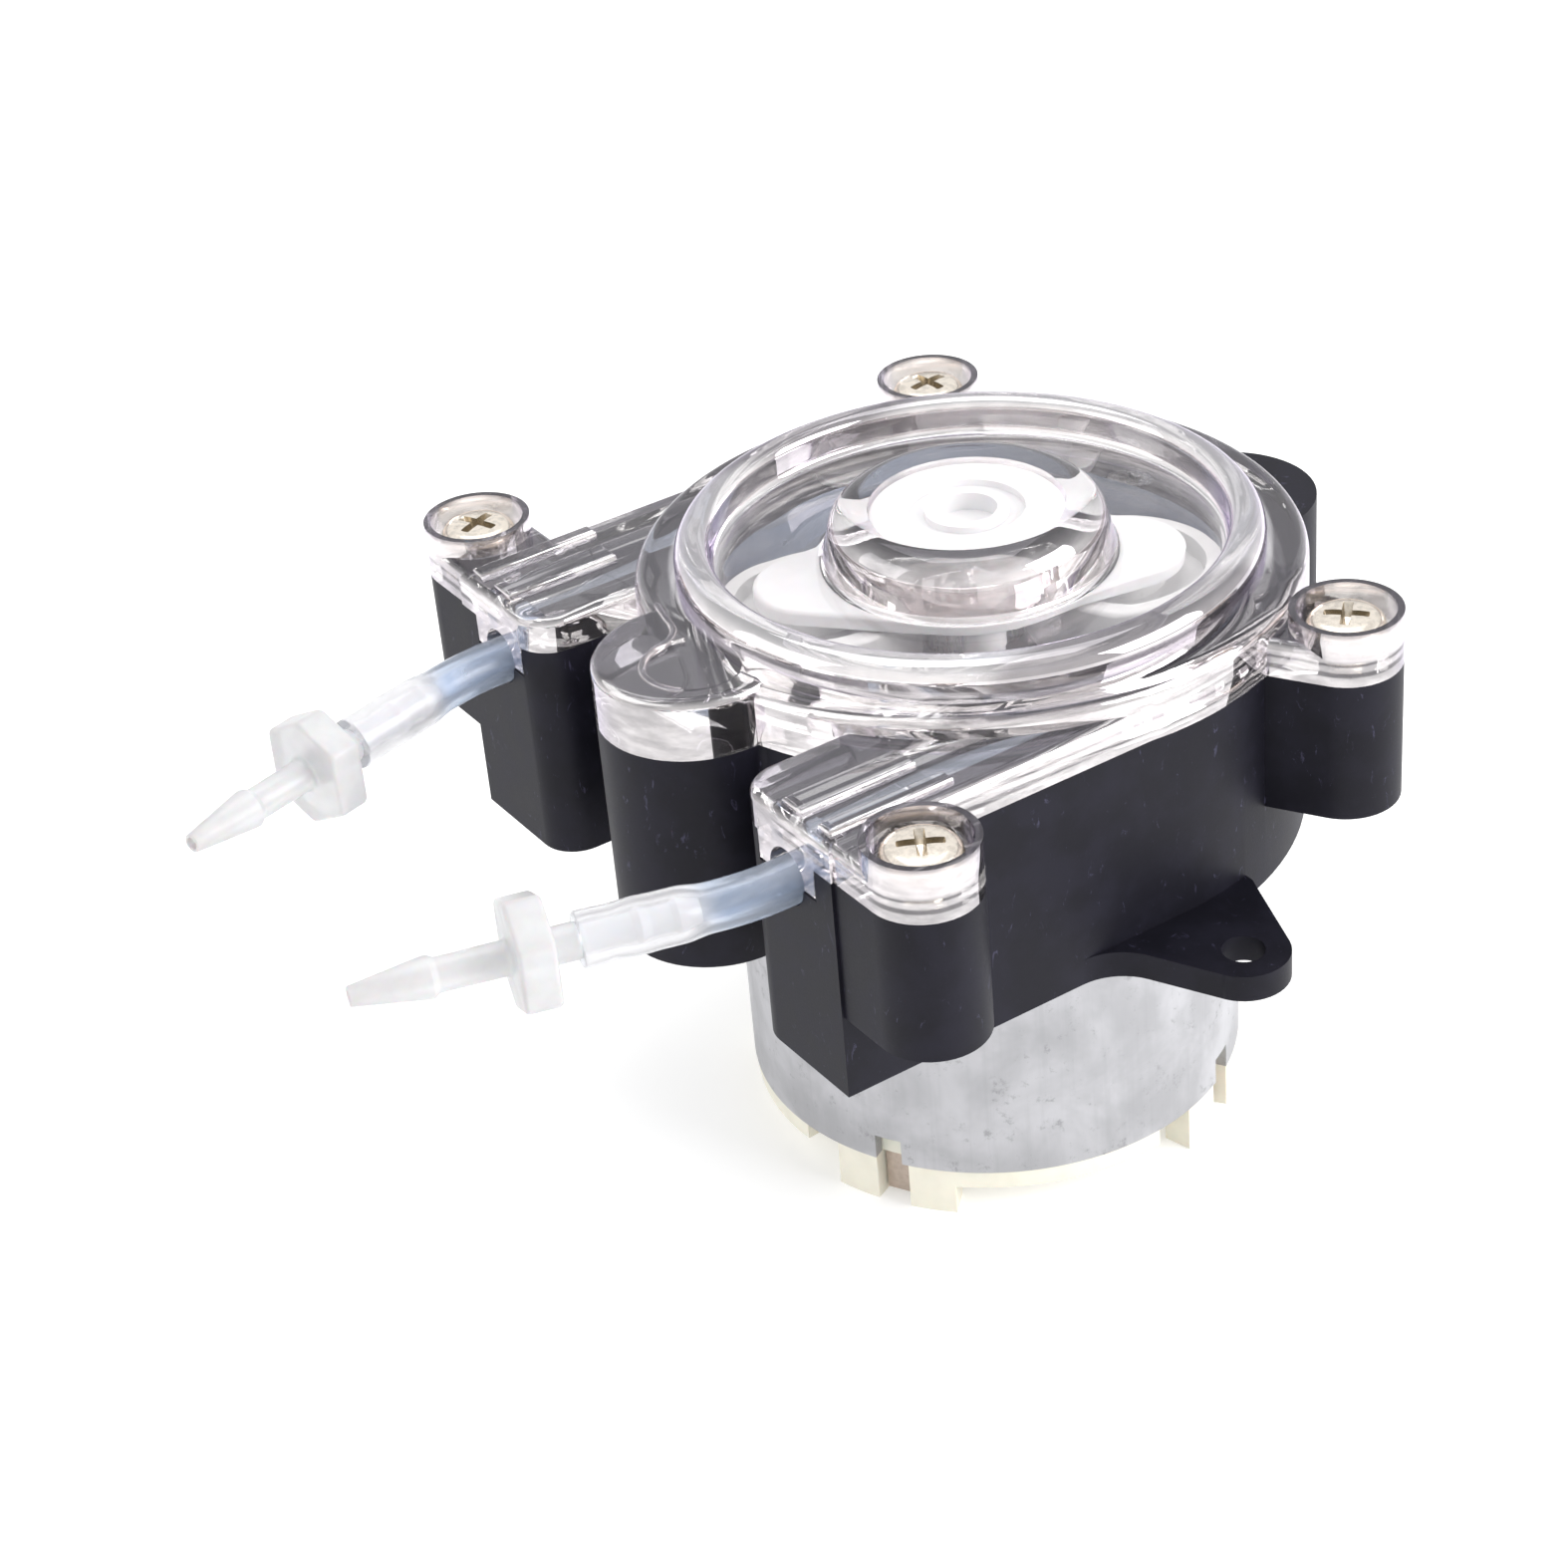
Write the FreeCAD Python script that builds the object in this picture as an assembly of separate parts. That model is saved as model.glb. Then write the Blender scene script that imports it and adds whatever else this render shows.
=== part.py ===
"""Peristaltic dosing pump: a two-roller pump head on a short brushed motor.

Millimetres, +Z up along the pump's axis, the tubes leave towards -Y.
The origin is on the axis, level with the underside of the two screw ears.
"""
import FreeCAD
import Part

import math
import os

V = FreeCAD.Vector
Z_AXIS = V(0, 0, 1)
SIDES = (-1, 1)

PAST = 1.0                   # how far a cut runs past the face that it opens
BITE = 0.5                   # how far a piece reaches into the one that it is joined to

# Housing
BODY_R = 28.4                # round body, and half its width across the straight side walls
BODY_H = 20.3                # from the ears' underside to the parting plane
BLOCK_REACH = 5.85           # the tube blocks' front faces stand this far ahead of the round body
BLOCK_W = 13.1               # width of a tube block
BLOCK_CORNER_R = 3.3
BULGE_SHIFT = 0.2            # the bulges' centres lie this far inside the round wall
FRONT_BULGE_R = 8.2
BACK_BULGE_R = 8.1
BACK_BULGE_DROP = 0.3        # its top lies this much below the parting plane
ROOT_FILLET = 1.0            # concave corners where blocks and bulges leave the round body
WALL = 2.2                   # moulded walls round the cored pockets
RECESS_WALL = 1.6            # wall left between the pockets and the motor's recess

# Screw bosses and cups
CUP_R = 4.7
BOSS_H = 12.7                # the bosses hang this far below the parting plane
FRONT_SCREW_OUT = 5.08       # front screws: outside the side wall
FRONT_SCREW_BACK = 4.97      # and behind the blocks' front faces
BACK_SCREW_OUT = 4.95        # back screws: outside the round wall
BACK_SCREW_ANGLE = 29.9
CUP_RIM = 4.8                # cup rim above the parting plane
CUP_FLOOR = 2.0
CUP_INNER_R = 4.1

# Screws of the cover
SCREW_R = 1.5
SCREW_LENGTH = 12.0
SCREW_TIP = 0.5              # chamfer at the shank's end, and room below it
SCREW_HEAD_R = 3.3
SCREW_HEAD_H = 2.3
SCREW_HEAD_ROUND = 1.0
CROSS_WIDTH = 0.75
CROSS_SPAN = 3.2
CROSS_DEPTH = 1.3
THREAD_CLEARANCE = 0.03      # round a screw in the hole that it is cut into
SCREW_CLEARANCE = 0.2        # round a screw in the piece that it clamps

# Ears
EAR_T = 2.4
EAR_REACH = 7.1              # distance of an ear's hole from the side wall
EAR_HOLE_R = 1.8
EAR_TIP_R = 3.9
EAR_ROOT = 3.0               # how far an ear is carried into the wall
EAR_BACK_Y = 7.0             # where the ear's edges leave the side wall
EAR_FRONT_Y = -7.8
EAR_FILLET = 5.0

# Tube
TUBE_R = 2.0
TUBE_BORE_R = 1.0
TUBE_DROP = 2.9              # centre line below the parting plane
TUBE_FIT = 0.1               # tube to channel, on the radius
PRESSED_T = 1.6              # thickness and height of the stretch that the rollers press flat
PRESSED_H = 5.4
PRESSED_END_Y = -10.0
ROUND_START_Y = -16.0
TUBE_BEND_DEG = 16.0
TUBE_BEND_R = 21.5
TUBE_STUB = 0.5              # straight length out of the block before the bend
SWELL = 0.25                 # extra radius over the connector's barb
SWELL_START = 0.6
SWELL_RAMP = 1.2
TUBE_LAST_RUN = 10.7         # straight length from the bend to the tube's end

# Connectors
BARB_RIDGE_R = 1.45
BARB_NECK_R = 1.15
BARB_DEPTH = 9.6             # length of the barb inside the tube
BARB_TAPER = 1.8
BARB_BACK = 0.6              # length of a ridge's steep back
BARB_ROOM = 0.4              # tube left past the barb's tip
BARB_FIT = 0.05
CONNECTOR_BORE_R = 0.5
ROOT_NECK_R = 1.5
HEX_GAP = 2.3                # from the tube's end to the flange
HEX_T = 3.1
HEX_CORNERS = 9.8
HEX_FLATS = 8.0
HEX_ROUND = 0.5
OUTER_NECK_R = 1.4
OUTER_NECK_L = 5.6
OUTER_RIDGE_R = 1.7
OUTER_RIDGE_L = 0.9
OUTER_TIP_R = 0.8
OUTER_TIP_L = 6.8

# Chamber and roller track
TRACK_WALL = 4.2             # round wall between the track and the outside
LEDGE_W = 1.45               # ledge that carries the pressed tube from below
LEDGE_GAP = 0.2              # ledge to pressed tube
CHAMBER_DEPTH = 9.0          # floor below the parting plane
FLOOR_T = 2.5
TRACK_GAP = 0.05             # pressed tube to track

# Cover: heights above the parting plane
PLATE_T = 3.2
PLATE_ROUND = 0.9
FLANGE_OVERHANG = 0.2        # the round flange stands this far over the body
FLANGE_TOP = 5.1             # the lid of the front bulge is as high
FLANGE_EDGE_ROUND = 1.3
FLANGE_LAND = 3.5            # flat between the flange's edge and the drum
DRUM_W = 3.1                 # width of the raised ring
DRUM_TOP = 7.6
DRUM_ROUND = 1.8
DRUM_INNER_ROUND = 1.0
DISH_FLOOR = 4.4
DISH_FILLET = 0.8
CENTRE_R = 11.35
CENTRE_ROUND = 3.0
CENTRE_FOOT = 1.25           # the boss is wider by this at its foot
CENTRE_TOP = 9.7
CENTRE_ROOF = 2.1
CENTRE_WALL = 2.95
POCKET_LAND = 1.4            # flat of the cover that rests over the pressed tube
POCKET_DEPTH = 2.4
RIB_W = 2.6
RIB_H = 0.6
RIB_ROUND = 0.35
RIB_L = 11.65
OUTER_RIB_IN = 1.9           # outer rib's centre line from the side wall
OUTER_RIB_W = 1.5
CRESCENT_R = 4.2             # hollow side of the raised crescent on the front bulge
CRESCENT_X = 1.9
CRESCENT_AHEAD = 0.8         # its centre lies this far in front of the bulge's
CRESCENT_IN = 1.2            # the crescent's tips from the flange's edge
CRESCENT_H = 0.4
ARCH_HALF_W = 3.8            # arch that closes the tube channel from above
ARCH_DEPTH = 3.0
ARCH_FIT = 0.1
ARCH_LIFT = 0.3              # arch's feet above the tube's centre line
ARCH_OPENING_R = 2.35
ARCH_OPENING_TOP = 2.9       # above the tube's centre line

# Rotor
ROTOR_ANGLE = 61.4           # direction of the rotor bar from +X, at rest
ROLLER_TUBE_GAP = 0.2        # roller to the pressed tube's inner side
ROLLER_SLEEVE_GAP = 0.15
ROLLER_H = 6.6
ROLLER_LIFT = 0.1            # running gap over the washer
ROLLER_ROUND = 0.5
ROLLER_GROOVE = (3.9, 7.3)
ROLLER_GROOVE_DEPTH = 1.6
LOBE_INSET = 3.6             # the bar's lobes stay inside the rollers by this
BASE_LIFT = 0.6              # base above the chamber's floor
BASE_T = 1.5
CARRIER_H = 9.0              # from the base's underside to the bar's
BAR_T = 1.4
BAR_ROUND = 0.5
BAR_MIDDLE_R = 10.2
HUB_FIT = 0.05
HUB_END_PLAY = 0.4
HUB_DIMPLE_R = 2.6
HUB_DIMPLE_DEPTH = 1.6
HUB_RING = (3.6, 5.0)
HUB_RING_DEPTH = 0.6
PILLAR_OFFSET = 8.2
PILLAR_R = 1.8
PIN_R = 1.5
PIN_FIT = 0.02
PIN_COVER = 0.45             # plastic left over a pin's blind hole
PIN_END_PLAY = 0.05
RUN_FIT = 0.05
WASHER_R = 3.4
WASHER_T = 0.5
BUSH_R = 2.6
CARRIER_SCREW_R = 0.8
CARRIER_SCREW_HEAD_R = 1.5
CARRIER_SCREW_HEAD_H = 0.7
CARRIER_SCREW_L = 6.0
CARRIER_SCREW_FIT = 0.1
CARRIER_SLOT_W = 0.4
CARRIER_SLOT_DEPTH = 0.45

# Drive sleeve and motor shaft
SHAFT_R = 2.5
SHAFT_CHAMFER = 0.4
SHAFT_OUT = 0.2              # shaft's end above the sleeve
SLEEVE_R = 4.3
SLEEVE_LIFT = 0.3            # sleeve above the can's bearing boss
SLEEVE_H = 6.6
SLEEVE_ROUND = 0.4

# Motor
CAN_R = 22.4
CAN_H = 33.8
CAN_WALL = 1.2
CAN_FACE_T = 1.5
CAN_ROUND = 1.2
CAN_FIT = 0.15               # can to housing recess
BOSS_R = 6.0                 # the can's bearing boss, on which the rotor's base runs
BOSS_HEIGHT = 4.6
BOSS_LIP = 0.4               # lip of the boss over its bush
SHAFT_ROOM = 0.5             # round the shaft where it passes a wall
BUSHING_R = 4.5
BUSHING_L = 7.0
REAR_BUSHING_L = 5.0
NOTCH_W = 2.5
NOTCH_H = 2.5
NOTCH_ANGLE = -61.5
MOTOR_SCREW_IN = 7.9         # motor screws from the can's outside
MOTOR_SCREW_HEAD_R = 2.8
MOTOR_SCREW_HEAD_H = 1.5
MOTOR_SCREW_L = 5.0
MAGNET_T = 4.0
MAGNET_ARC = 74.0
MAGNET_OVERHANG = 3.0        # magnets past both ends of the core
GLUE = 0.05
AIR_GAP = 0.65
CORE_DEPTH = 6.8             # the core's top below the can's face
CORE_HUB_R = 6.5
SLOTS = 7
TOOTH_W = 3.4
TOOTH_TIP_T = 1.6
SLOT_OPENING = 1.8
COIL_T = 1.6
COIL_END = 3.4
COIL_IN = 8.7                # inner end of a coil from the axis
COIL_TIP_GAP = 0.7           # outer end of a coil to the tooth's tip
COIL_GAP = 0.1
COMMUTATOR_R = 4.8
COMMUTATOR_H = 5.4
COIL_ROOM = 4.4              # between commutator and core, for the coils' ends
COMMUTATOR_SLIT = 0.5
COMMUTATOR_SLIT_DEPTH = 0.8
SPACER_R = 3.8
REAR_SPACER_L = 0.6
SHAFT_END_PLAY = 0.2
BUSH_FLOOR = 0.3             # step that carries the rear bush
CAP_PLATE_T = 2.2
CAP_RING_INSET = 0.2         # end cap's ring inside the can's outside
CAP_RING_T = 1.8
CAP_RING_W = 2.7
CAP_FIT = 0.1
FOOT_H = 4.7                 # feet below the can's rim
FOOT_ANGLES = ((-76.0, -65.0), (-57.0, -46.0))
RING_GAP_ANGLES = (4.0, 14.0)
CAP_BOSS_R = 6.5
CAP_BOSS_H = 3.7             # rear bearing boss below the can's rim
CAP_BOSS_FLOOR = 0.8
TERMINAL_ANGLES = (-61.0, 29.0)
TERMINAL_IN = 1.8            # terminals from the can's outside
TERMINAL_W = 2.4
TERMINAL_T = 0.6
TERMINAL_H = 4.2             # terminals below the can's rim
TERMINAL_STRIP_IN = 10.4     # inner end of the strips from the can's outside
TERMINAL_FIT = 0.1
BRUSH_W = 2.8
BRUSH_H = 2.6
BRUSH_L = 4.4
BRUSH_BITE = 0.6             # how far a brush's hollow end reaches round the commutator
BRUSH_GAP = 0.05
ARM_T = 0.35

# Worked out from the sizes above: plan
FRONT_Y = -(BODY_R + BLOCK_REACH)
BLOCK_INNER_X = BODY_R - BLOCK_W
BULGE_Y = BODY_R - BULGE_SHIFT
EAR_X = BODY_R + EAR_REACH
TRACK_R = BODY_R - TRACK_WALL
LEDGE_R = TRACK_R - LEDGE_W
PRESSED_X = TRACK_R - TRACK_GAP - PRESSED_T / 2
TUBE_X = TRACK_R - TUBE_R
CHANNEL_R = TUBE_R + TUBE_FIT
SWELL_R = TUBE_R + SWELL
FLANGE_R = BODY_R + FLANGE_OVERHANG
DRUM_R = FLANGE_R - FLANGE_LAND
DISH_R = DRUM_R - DRUM_W
POCKET_R = TRACK_R - POCKET_LAND
ROLLER_REACH = PRESSED_X - PRESSED_T / 2 - ROLLER_TUBE_GAP
ROLLER_OFFSET = (ROLLER_REACH + SLEEVE_R + ROLLER_SLEEVE_GAP) / 2
ROLLER_R = ROLLER_REACH - ROLLER_OFFSET
LOBE_R = ROLLER_R - LOBE_INSET
HUB_R = CENTRE_R - CENTRE_WALL - HUB_FIT
CAN_INNER_R = CAN_R - CAN_WALL
MOTOR_SCREW_X = CAN_R - MOTOR_SCREW_IN
MAGNET_R = CAN_INNER_R - GLUE
CORE_R = MAGNET_R - MAGNET_T - AIR_GAP
COIL_OUT = CORE_R - TOOTH_TIP_T - COIL_TIP_GAP
CAP_RING_R = CAN_R - CAP_RING_INSET
TERMINAL_R = CAN_R - TERMINAL_IN
TERMINAL_STRIP_R = CAN_R - TERMINAL_STRIP_IN

# Worked out from the sizes above: heights
PLATE_TOP = BODY_H + PLATE_T
FLANGE_Z = BODY_H + FLANGE_TOP
DRUM_Z = BODY_H + DRUM_TOP
DISH_Z = BODY_H + DISH_FLOOR
CENTRE_Z = BODY_H + CENTRE_TOP
POCKET_Z = BODY_H + POCKET_DEPTH
HUB_ROOF_Z = CENTRE_Z - CENTRE_ROOF
CUP_FLOOR_Z = BODY_H + CUP_FLOOR
CUP_RIM_Z = BODY_H + CUP_RIM
TUBE_Z = BODY_H - TUBE_DROP
LEDGE_Z = TUBE_Z - PRESSED_H / 2 - LEDGE_GAP
CHAMBER_FLOOR = BODY_H - CHAMBER_DEPTH
MOTOR_FACE = CHAMBER_FLOOR - FLOOR_T
CAN_BOTTOM = MOTOR_FACE - CAN_H
BOSS_TOP = MOTOR_FACE + BOSS_HEIGHT
BASE_Z = CHAMBER_FLOOR + BASE_LIFT
BASE_TOP = BASE_Z + BASE_T
BAR_Z = BASE_Z + CARRIER_H
BAR_TOP = BAR_Z + BAR_T
HUB_TOP = HUB_ROOF_Z - HUB_END_PLAY
SLEEVE_BOTTOM = BOSS_TOP + SLEEVE_LIFT
SLEEVE_TOP = SLEEVE_BOTTOM + SLEEVE_H
SHAFT_TOP = SLEEVE_TOP + SHAFT_OUT
FEET_BOTTOM = CAN_BOTTOM - FOOT_H
CAP_PLATE_TOP = CAN_BOTTOM + CAP_PLATE_T
RING_BOTTOM = CAN_BOTTOM - CAP_RING_T
CAP_BOSS_BOTTOM = CAN_BOTTOM - CAP_BOSS_H
CAP_BOSS_INSIDE = CAP_BOSS_BOTTOM + CAP_BOSS_FLOOR

FRONT_BUSH = (BOSS_TOP - BOSS_LIP - BUSHING_L, BOSS_TOP - BOSS_LIP)
REAR_BUSH = (CAP_BOSS_INSIDE + BUSH_FLOOR, CAP_BOSS_INSIDE + BUSH_FLOOR + REAR_BUSHING_L)
COMMUTATOR_LOW = REAR_BUSH[1] + SHAFT_END_PLAY + REAR_SPACER_L
COMMUTATOR_Z = (COMMUTATOR_LOW, COMMUTATOR_LOW + COMMUTATOR_H)
BRUSH_Z = COMMUTATOR_LOW + COMMUTATOR_H / 2
CORE_Z = (COMMUTATOR_Z[1] + COIL_ROOM, MOTOR_FACE - CORE_DEPTH)
MAGNET_Z = (CORE_Z[0] - MAGNET_OVERHANG, CORE_Z[1] + MAGNET_OVERHANG)
ROLLER_LOW = BASE_TOP + WASHER_T + ROLLER_LIFT
ROLLER_Z = (ROLLER_LOW, ROLLER_LOW + ROLLER_H)


def disc(r, z0, z1, x=0.0, y=0.0):
    """An upright cylinder from z0 to z1."""
    return Part.makeCylinder(r, z1 - z0, V(x, y, z0))


def tube(outer, inner, z0, z1, x=0.0, y=0.0):
    """An upright round tube."""
    return disc(outer, z0, z1, x, y).cut(disc(inner, z0 - PAST, z1 + PAST, x, y))


def slab(x0, x1, y0, y1, z0, z1):
    """A box between two corners."""
    return Part.makeBox(x1 - x0, y1 - y0, z1 - z0, V(x0, y0, z0))


def turned(shape, degrees):
    """A copy turned about the pump's axis."""
    copy = shape.copy()
    copy.rotate(V(0, 0, 0), Z_AXIS, degrees)
    return copy


def mirrored(shape):
    """The copy on the other side of the pump's middle plane."""
    return shape.mirror(V(0, 0, 0), V(1, 0, 0))


def polar(r, degrees, z=0.0):
    """A point at a radius and an angle from +X."""
    a = math.radians(degrees)
    return V(r * math.cos(a), r * math.sin(a), z)


def fused(first, *others):
    """One solid from pieces that touch, with its split faces joined."""
    return first.fuse(list(others)).removeSplitter()


def polygon_prism(points, z0, z1):
    """An upright prism over a closed outline of (x, y) points."""
    corners = [V(x, y, z0) for x, y in points]
    wire = Part.makePolygon(corners + corners[:1])
    return Part.Face(wire).extrude(V(0, 0, z1 - z0))


def revolved(points):
    """A profile of (radius, z) points turned about the pump's axis."""
    corners = [V(r, 0, z) for r, z in points]
    wire = Part.makePolygon(corners + corners[:1])
    return Part.Face(wire).revolve(V(0, 0, 0), Z_AXIS, 360)


def sector(r0, r1, a0, a1, z0, z1):
    """A piece of an upright ring between two radii and two angles."""
    corners = [polar(r0, a0, z0), polar(r1, a0, z0), polar(r1, a1, z0), polar(r0, a1, z0)]
    mid = (a0 + a1) / 2
    edges = [
        Part.LineSegment(corners[0], corners[1]).toShape(),
        Part.Arc(corners[1], polar(r1, mid, z0), corners[2]).toShape(),
        Part.LineSegment(corners[2], corners[3]).toShape(),
        Part.Arc(corners[3], polar(r0, mid, z0), corners[0]).toShape(),
    ]
    return Part.Face(Part.Wire(edges)).extrude(V(0, 0, z1 - z0))


def round_edges(shape, radius, wanted):
    """Round the edges for which wanted(edge) is true."""
    edges = [e for e in shape.Edges if wanted(e)]
    return shape.makeFillet(radius, edges)


def is_circle(edge, r, z):
    """True for a circular edge of radius r about the pump's axis at height z."""
    curve = edge.Curve
    if not isinstance(curve, Part.Circle):
        return False
    centre = curve.Center
    on_axis = math.hypot(centre.x, centre.y) < 1e-4
    return on_axis and abs(curve.Radius - r) < 1e-4 and abs(centre.z - z) < 1e-4


def is_level(edge, z):
    """True for an edge that lies all in the plane at height z."""
    box = edge.BoundBox
    return abs(box.ZMin - z) < 1e-4 and abs(box.ZMax - z) < 1e-4


def screw_places():
    """Axes of the four cover screws."""
    front_x = BODY_R + FRONT_SCREW_OUT
    front_y = FRONT_Y + FRONT_SCREW_BACK
    back = polar(BODY_R + BACK_SCREW_OUT, BACK_SCREW_ANGLE)
    return [(side * x, y) for x, y in ((front_x, front_y), (back.x, back.y)) for side in SIDES]


def tube_block(side, z0, z1, inset=0.0):
    """The block at one side that holds a tube channel, with its inner front corner rounded."""
    x0 = BLOCK_INNER_X + inset
    x1 = BODY_R - inset
    y0 = FRONT_Y + inset
    block = slab(x0, x1, y0, 0.0, z0, z1)

    def is_corner(edge):
        box = edge.BoundBox
        upright = box.ZLength > (z1 - z0) / 2
        return upright and abs(box.XMin - x0) < 0.01 and abs(box.YMin - y0) < 0.01

    block = round_edges(block, BLOCK_CORNER_R - inset, is_corner)
    return block if side > 0 else mirrored(block)


def screw_lug(x, y, z0, z1):
    """The web and round boss that carry one screw, joined to the body."""
    side = math.copysign(1, x)
    boss = disc(CUP_R, z0, z1, x, y)
    inner = BODY_R - WALL
    if y < 0:
        web = slab(min(side * inner, x), max(side * inner, x), y - CUP_R, y + CUP_R, z0, z1)
    else:
        web = slab(inner, math.hypot(x, y), -CUP_R, CUP_R, z0, z1)
        web = turned(web, math.degrees(math.atan2(y, x)))
    return fused(boss, web)


def head_outline(z0, z1, round_r, lug_z0):
    """The outline that housing and cover share, with its four lugs starting at lug_z0."""
    pieces = [tube_block(side, z0, z1) for side in SIDES]
    pieces.append(disc(FRONT_BULGE_R, z0, z1, 0, -BULGE_Y))
    pieces += [screw_lug(x, y, lug_z0, z1) for x, y in screw_places()]
    return fused(disc(round_r, z0, z1), *pieces)


def root_edges(shape, height):
    """Upright concave edges where the blocks and the bulges leave the round body."""
    def wanted(edge):
        box = edge.BoundBox
        upright = box.ZLength > height * 0.9 and box.XLength < 1e-3 and box.YLength < 1e-3
        x, y = box.XMin, box.YMin
        on_round = abs(math.hypot(x, y) - BODY_R) < 0.05
        return upright and on_round and abs(x) < BLOCK_INNER_X + 1 and abs(y) > BODY_R / 2
    return [e for e in shape.Edges if wanted(e)]


def ear(side):
    """One screw ear: a flat tapered tongue with a round tip and a hole."""
    root_x = BODY_R - EAR_ROOT
    web_y = EAR_FRONT_Y - EAR_FILLET
    slope_back = math.degrees(math.atan2(EAR_BACK_Y - EAR_TIP_R, EAR_REACH))
    slope_front = math.degrees(math.atan2(-EAR_FRONT_Y - EAR_TIP_R, EAR_REACH))
    back = polar(EAR_TIP_R, 90 - slope_back)
    front = polar(EAR_TIP_R, slope_front - 90)
    points = [
        (root_x, EAR_BACK_Y),
        (BODY_R, EAR_BACK_Y),
        (EAR_X + back.x, back.y),
        (EAR_X + front.x, front.y),
        (BODY_R, EAR_FRONT_Y),
        (BODY_R, web_y),
        (root_x, web_y),
    ]

    def is_front_root(edge):
        box = edge.BoundBox
        upright = box.ZLength > EAR_T / 2
        return upright and abs(box.XMax - BODY_R) < 0.01 and abs(box.YMin - EAR_FRONT_Y) < 0.01

    tongue = round_edges(polygon_prism(points, 0, EAR_T), EAR_FILLET, is_front_root)
    tongue = fused(tongue, disc(EAR_TIP_R, 0, EAR_T, EAR_X, 0))
    tongue = tongue.cut(disc(EAR_HOLE_R, -PAST, EAR_T + PAST, EAR_X, 0))
    return tongue if side > 0 else mirrored(tongue)


def channel_cut(side):
    """The room that one tube takes in its block: a round-bottomed slot open at the top."""
    y0 = FRONT_Y - PAST
    top = BODY_H + PAST
    seat_half = ARCH_HALF_W + ARCH_FIT
    bottom = Part.makeCylinder(CHANNEL_R, -y0, V(TUBE_X, y0, TUBE_Z), V(0, 1, 0))
    upper = slab(TUBE_X - CHANNEL_R, TUBE_X + CHANNEL_R, y0, 0, TUBE_Z, top)
    side_room = slab(TUBE_X - CHANNEL_R, TRACK_R, ROUND_START_Y, 0, LEDGE_Z, top)
    seat = slab(TUBE_X - seat_half, TUBE_X + seat_half, y0, FRONT_Y + ARCH_DEPTH + ARCH_FIT, TUBE_Z, top)
    cut = bottom.fuse([upper, side_room, seat])
    return cut if side > 0 else mirrored(cut)


def core_pockets():
    """Pockets that lighten the blocks and bulges from below."""
    recess_wall = disc(CAN_R + CAN_FIT + RECESS_WALL, -PAST, BODY_H)
    round_wall = disc(BODY_R - WALL, -PAST, BODY_H)
    block_top = TUBE_Z - CHANNEL_R - WALL
    pockets = []
    for side in SIDES:
        pocket = tube_block(side, -PAST, block_top, WALL)
        pocket = pocket.common(slab(-BODY_R, BODY_R, FRONT_Y, EAR_FRONT_Y, -PAST, BODY_H))
        pockets.append(pocket.cut([recess_wall, round_wall]))
    for y, r in ((-BULGE_Y, FRONT_BULGE_R), (BULGE_Y, BACK_BULGE_R)):
        pocket = disc(r - WALL, -PAST, BODY_H - 2 * WALL, 0, y)
        pockets.append(pocket.cut([recess_wall, round_wall]))
    return pockets


def pump_housing():
    """The black moulded body: chamber and track above, motor recess below."""
    body = head_outline(0, BODY_H, BODY_R, BODY_H - BOSS_H)
    body = fused(body, disc(BACK_BULGE_R, 0, BODY_H - BACK_BULGE_DROP, 0, BULGE_Y))
    body = body.makeFillet(ROOT_FILLET, root_edges(body, BODY_H - BACK_BULGE_DROP))
    body = fused(body, *[ear(side) for side in SIDES])
    cuts = [
        disc(TRACK_R, LEDGE_Z, BODY_H + PAST),
        disc(LEDGE_R, CHAMBER_FLOOR, BODY_H),
        disc(CAN_R + CAN_FIT, -PAST, MOTOR_FACE),
        disc(BOSS_R + CAN_FIT, MOTOR_FACE - PAST, CHAMBER_FLOOR + PAST),
    ]
    cuts += [channel_cut(side) for side in SIDES]
    cuts += core_pockets()
    hole_bottom = CUP_FLOOR_Z - SCREW_LENGTH - SCREW_TIP
    for x, y in screw_places():
        cuts.append(disc(SCREW_R + THREAD_CLEARANCE, hole_bottom, BODY_H + PAST, x, y))
    for side in SIDES:
        cuts.append(motor_screw_outline(side, SCREW_CLEARANCE))
    return body.cut(cuts)


def motor_screw_outline(side, clearance):
    """A flat-headed motor screw, larger all round by a clearance."""
    x = side * MOTOR_SCREW_X
    neck = CHAMBER_FLOOR - MOTOR_SCREW_HEAD_H
    head = Part.makeCone(SCREW_R + clearance, MOTOR_SCREW_HEAD_R + clearance, MOTOR_SCREW_HEAD_H,
                         V(x, 0, neck))
    shank = disc(SCREW_R + clearance, CHAMBER_FLOOR - MOTOR_SCREW_L - clearance, neck, x, 0)
    return head.fuse(shank)


def cross_recess(x, y, top):
    """The cross cut in a screw's head."""
    bottom = top - CROSS_DEPTH
    half = CROSS_SPAN / 2
    w = CROSS_WIDTH / 2
    one = slab(x - half, x + half, y - w, y + w, bottom, top + PAST)
    other = slab(x - w, x + w, y - half, y + half, bottom, top + PAST)
    return one.fuse(other)


def cover_screw(x, y):
    """One pan-head screw standing in its cup."""
    top = CUP_FLOOR_Z + SCREW_HEAD_H
    end = CUP_FLOOR_Z - SCREW_LENGTH
    head = disc(SCREW_HEAD_R, CUP_FLOOR_Z, top, x, y)
    head = round_edges(head, SCREW_HEAD_ROUND, lambda e: is_level(e, top))
    shank = disc(SCREW_R, end, CUP_FLOOR_Z, x, y)
    shank = shank.makeChamfer(SCREW_TIP, [e for e in shank.Edges if is_level(e, end)])
    return fused(head, shank).cut(cross_recess(x, y, top))


def cover_screws():
    """The four screws of the cover."""
    return Part.makeCompound([cover_screw(x, y) for x, y in screw_places()])


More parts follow.
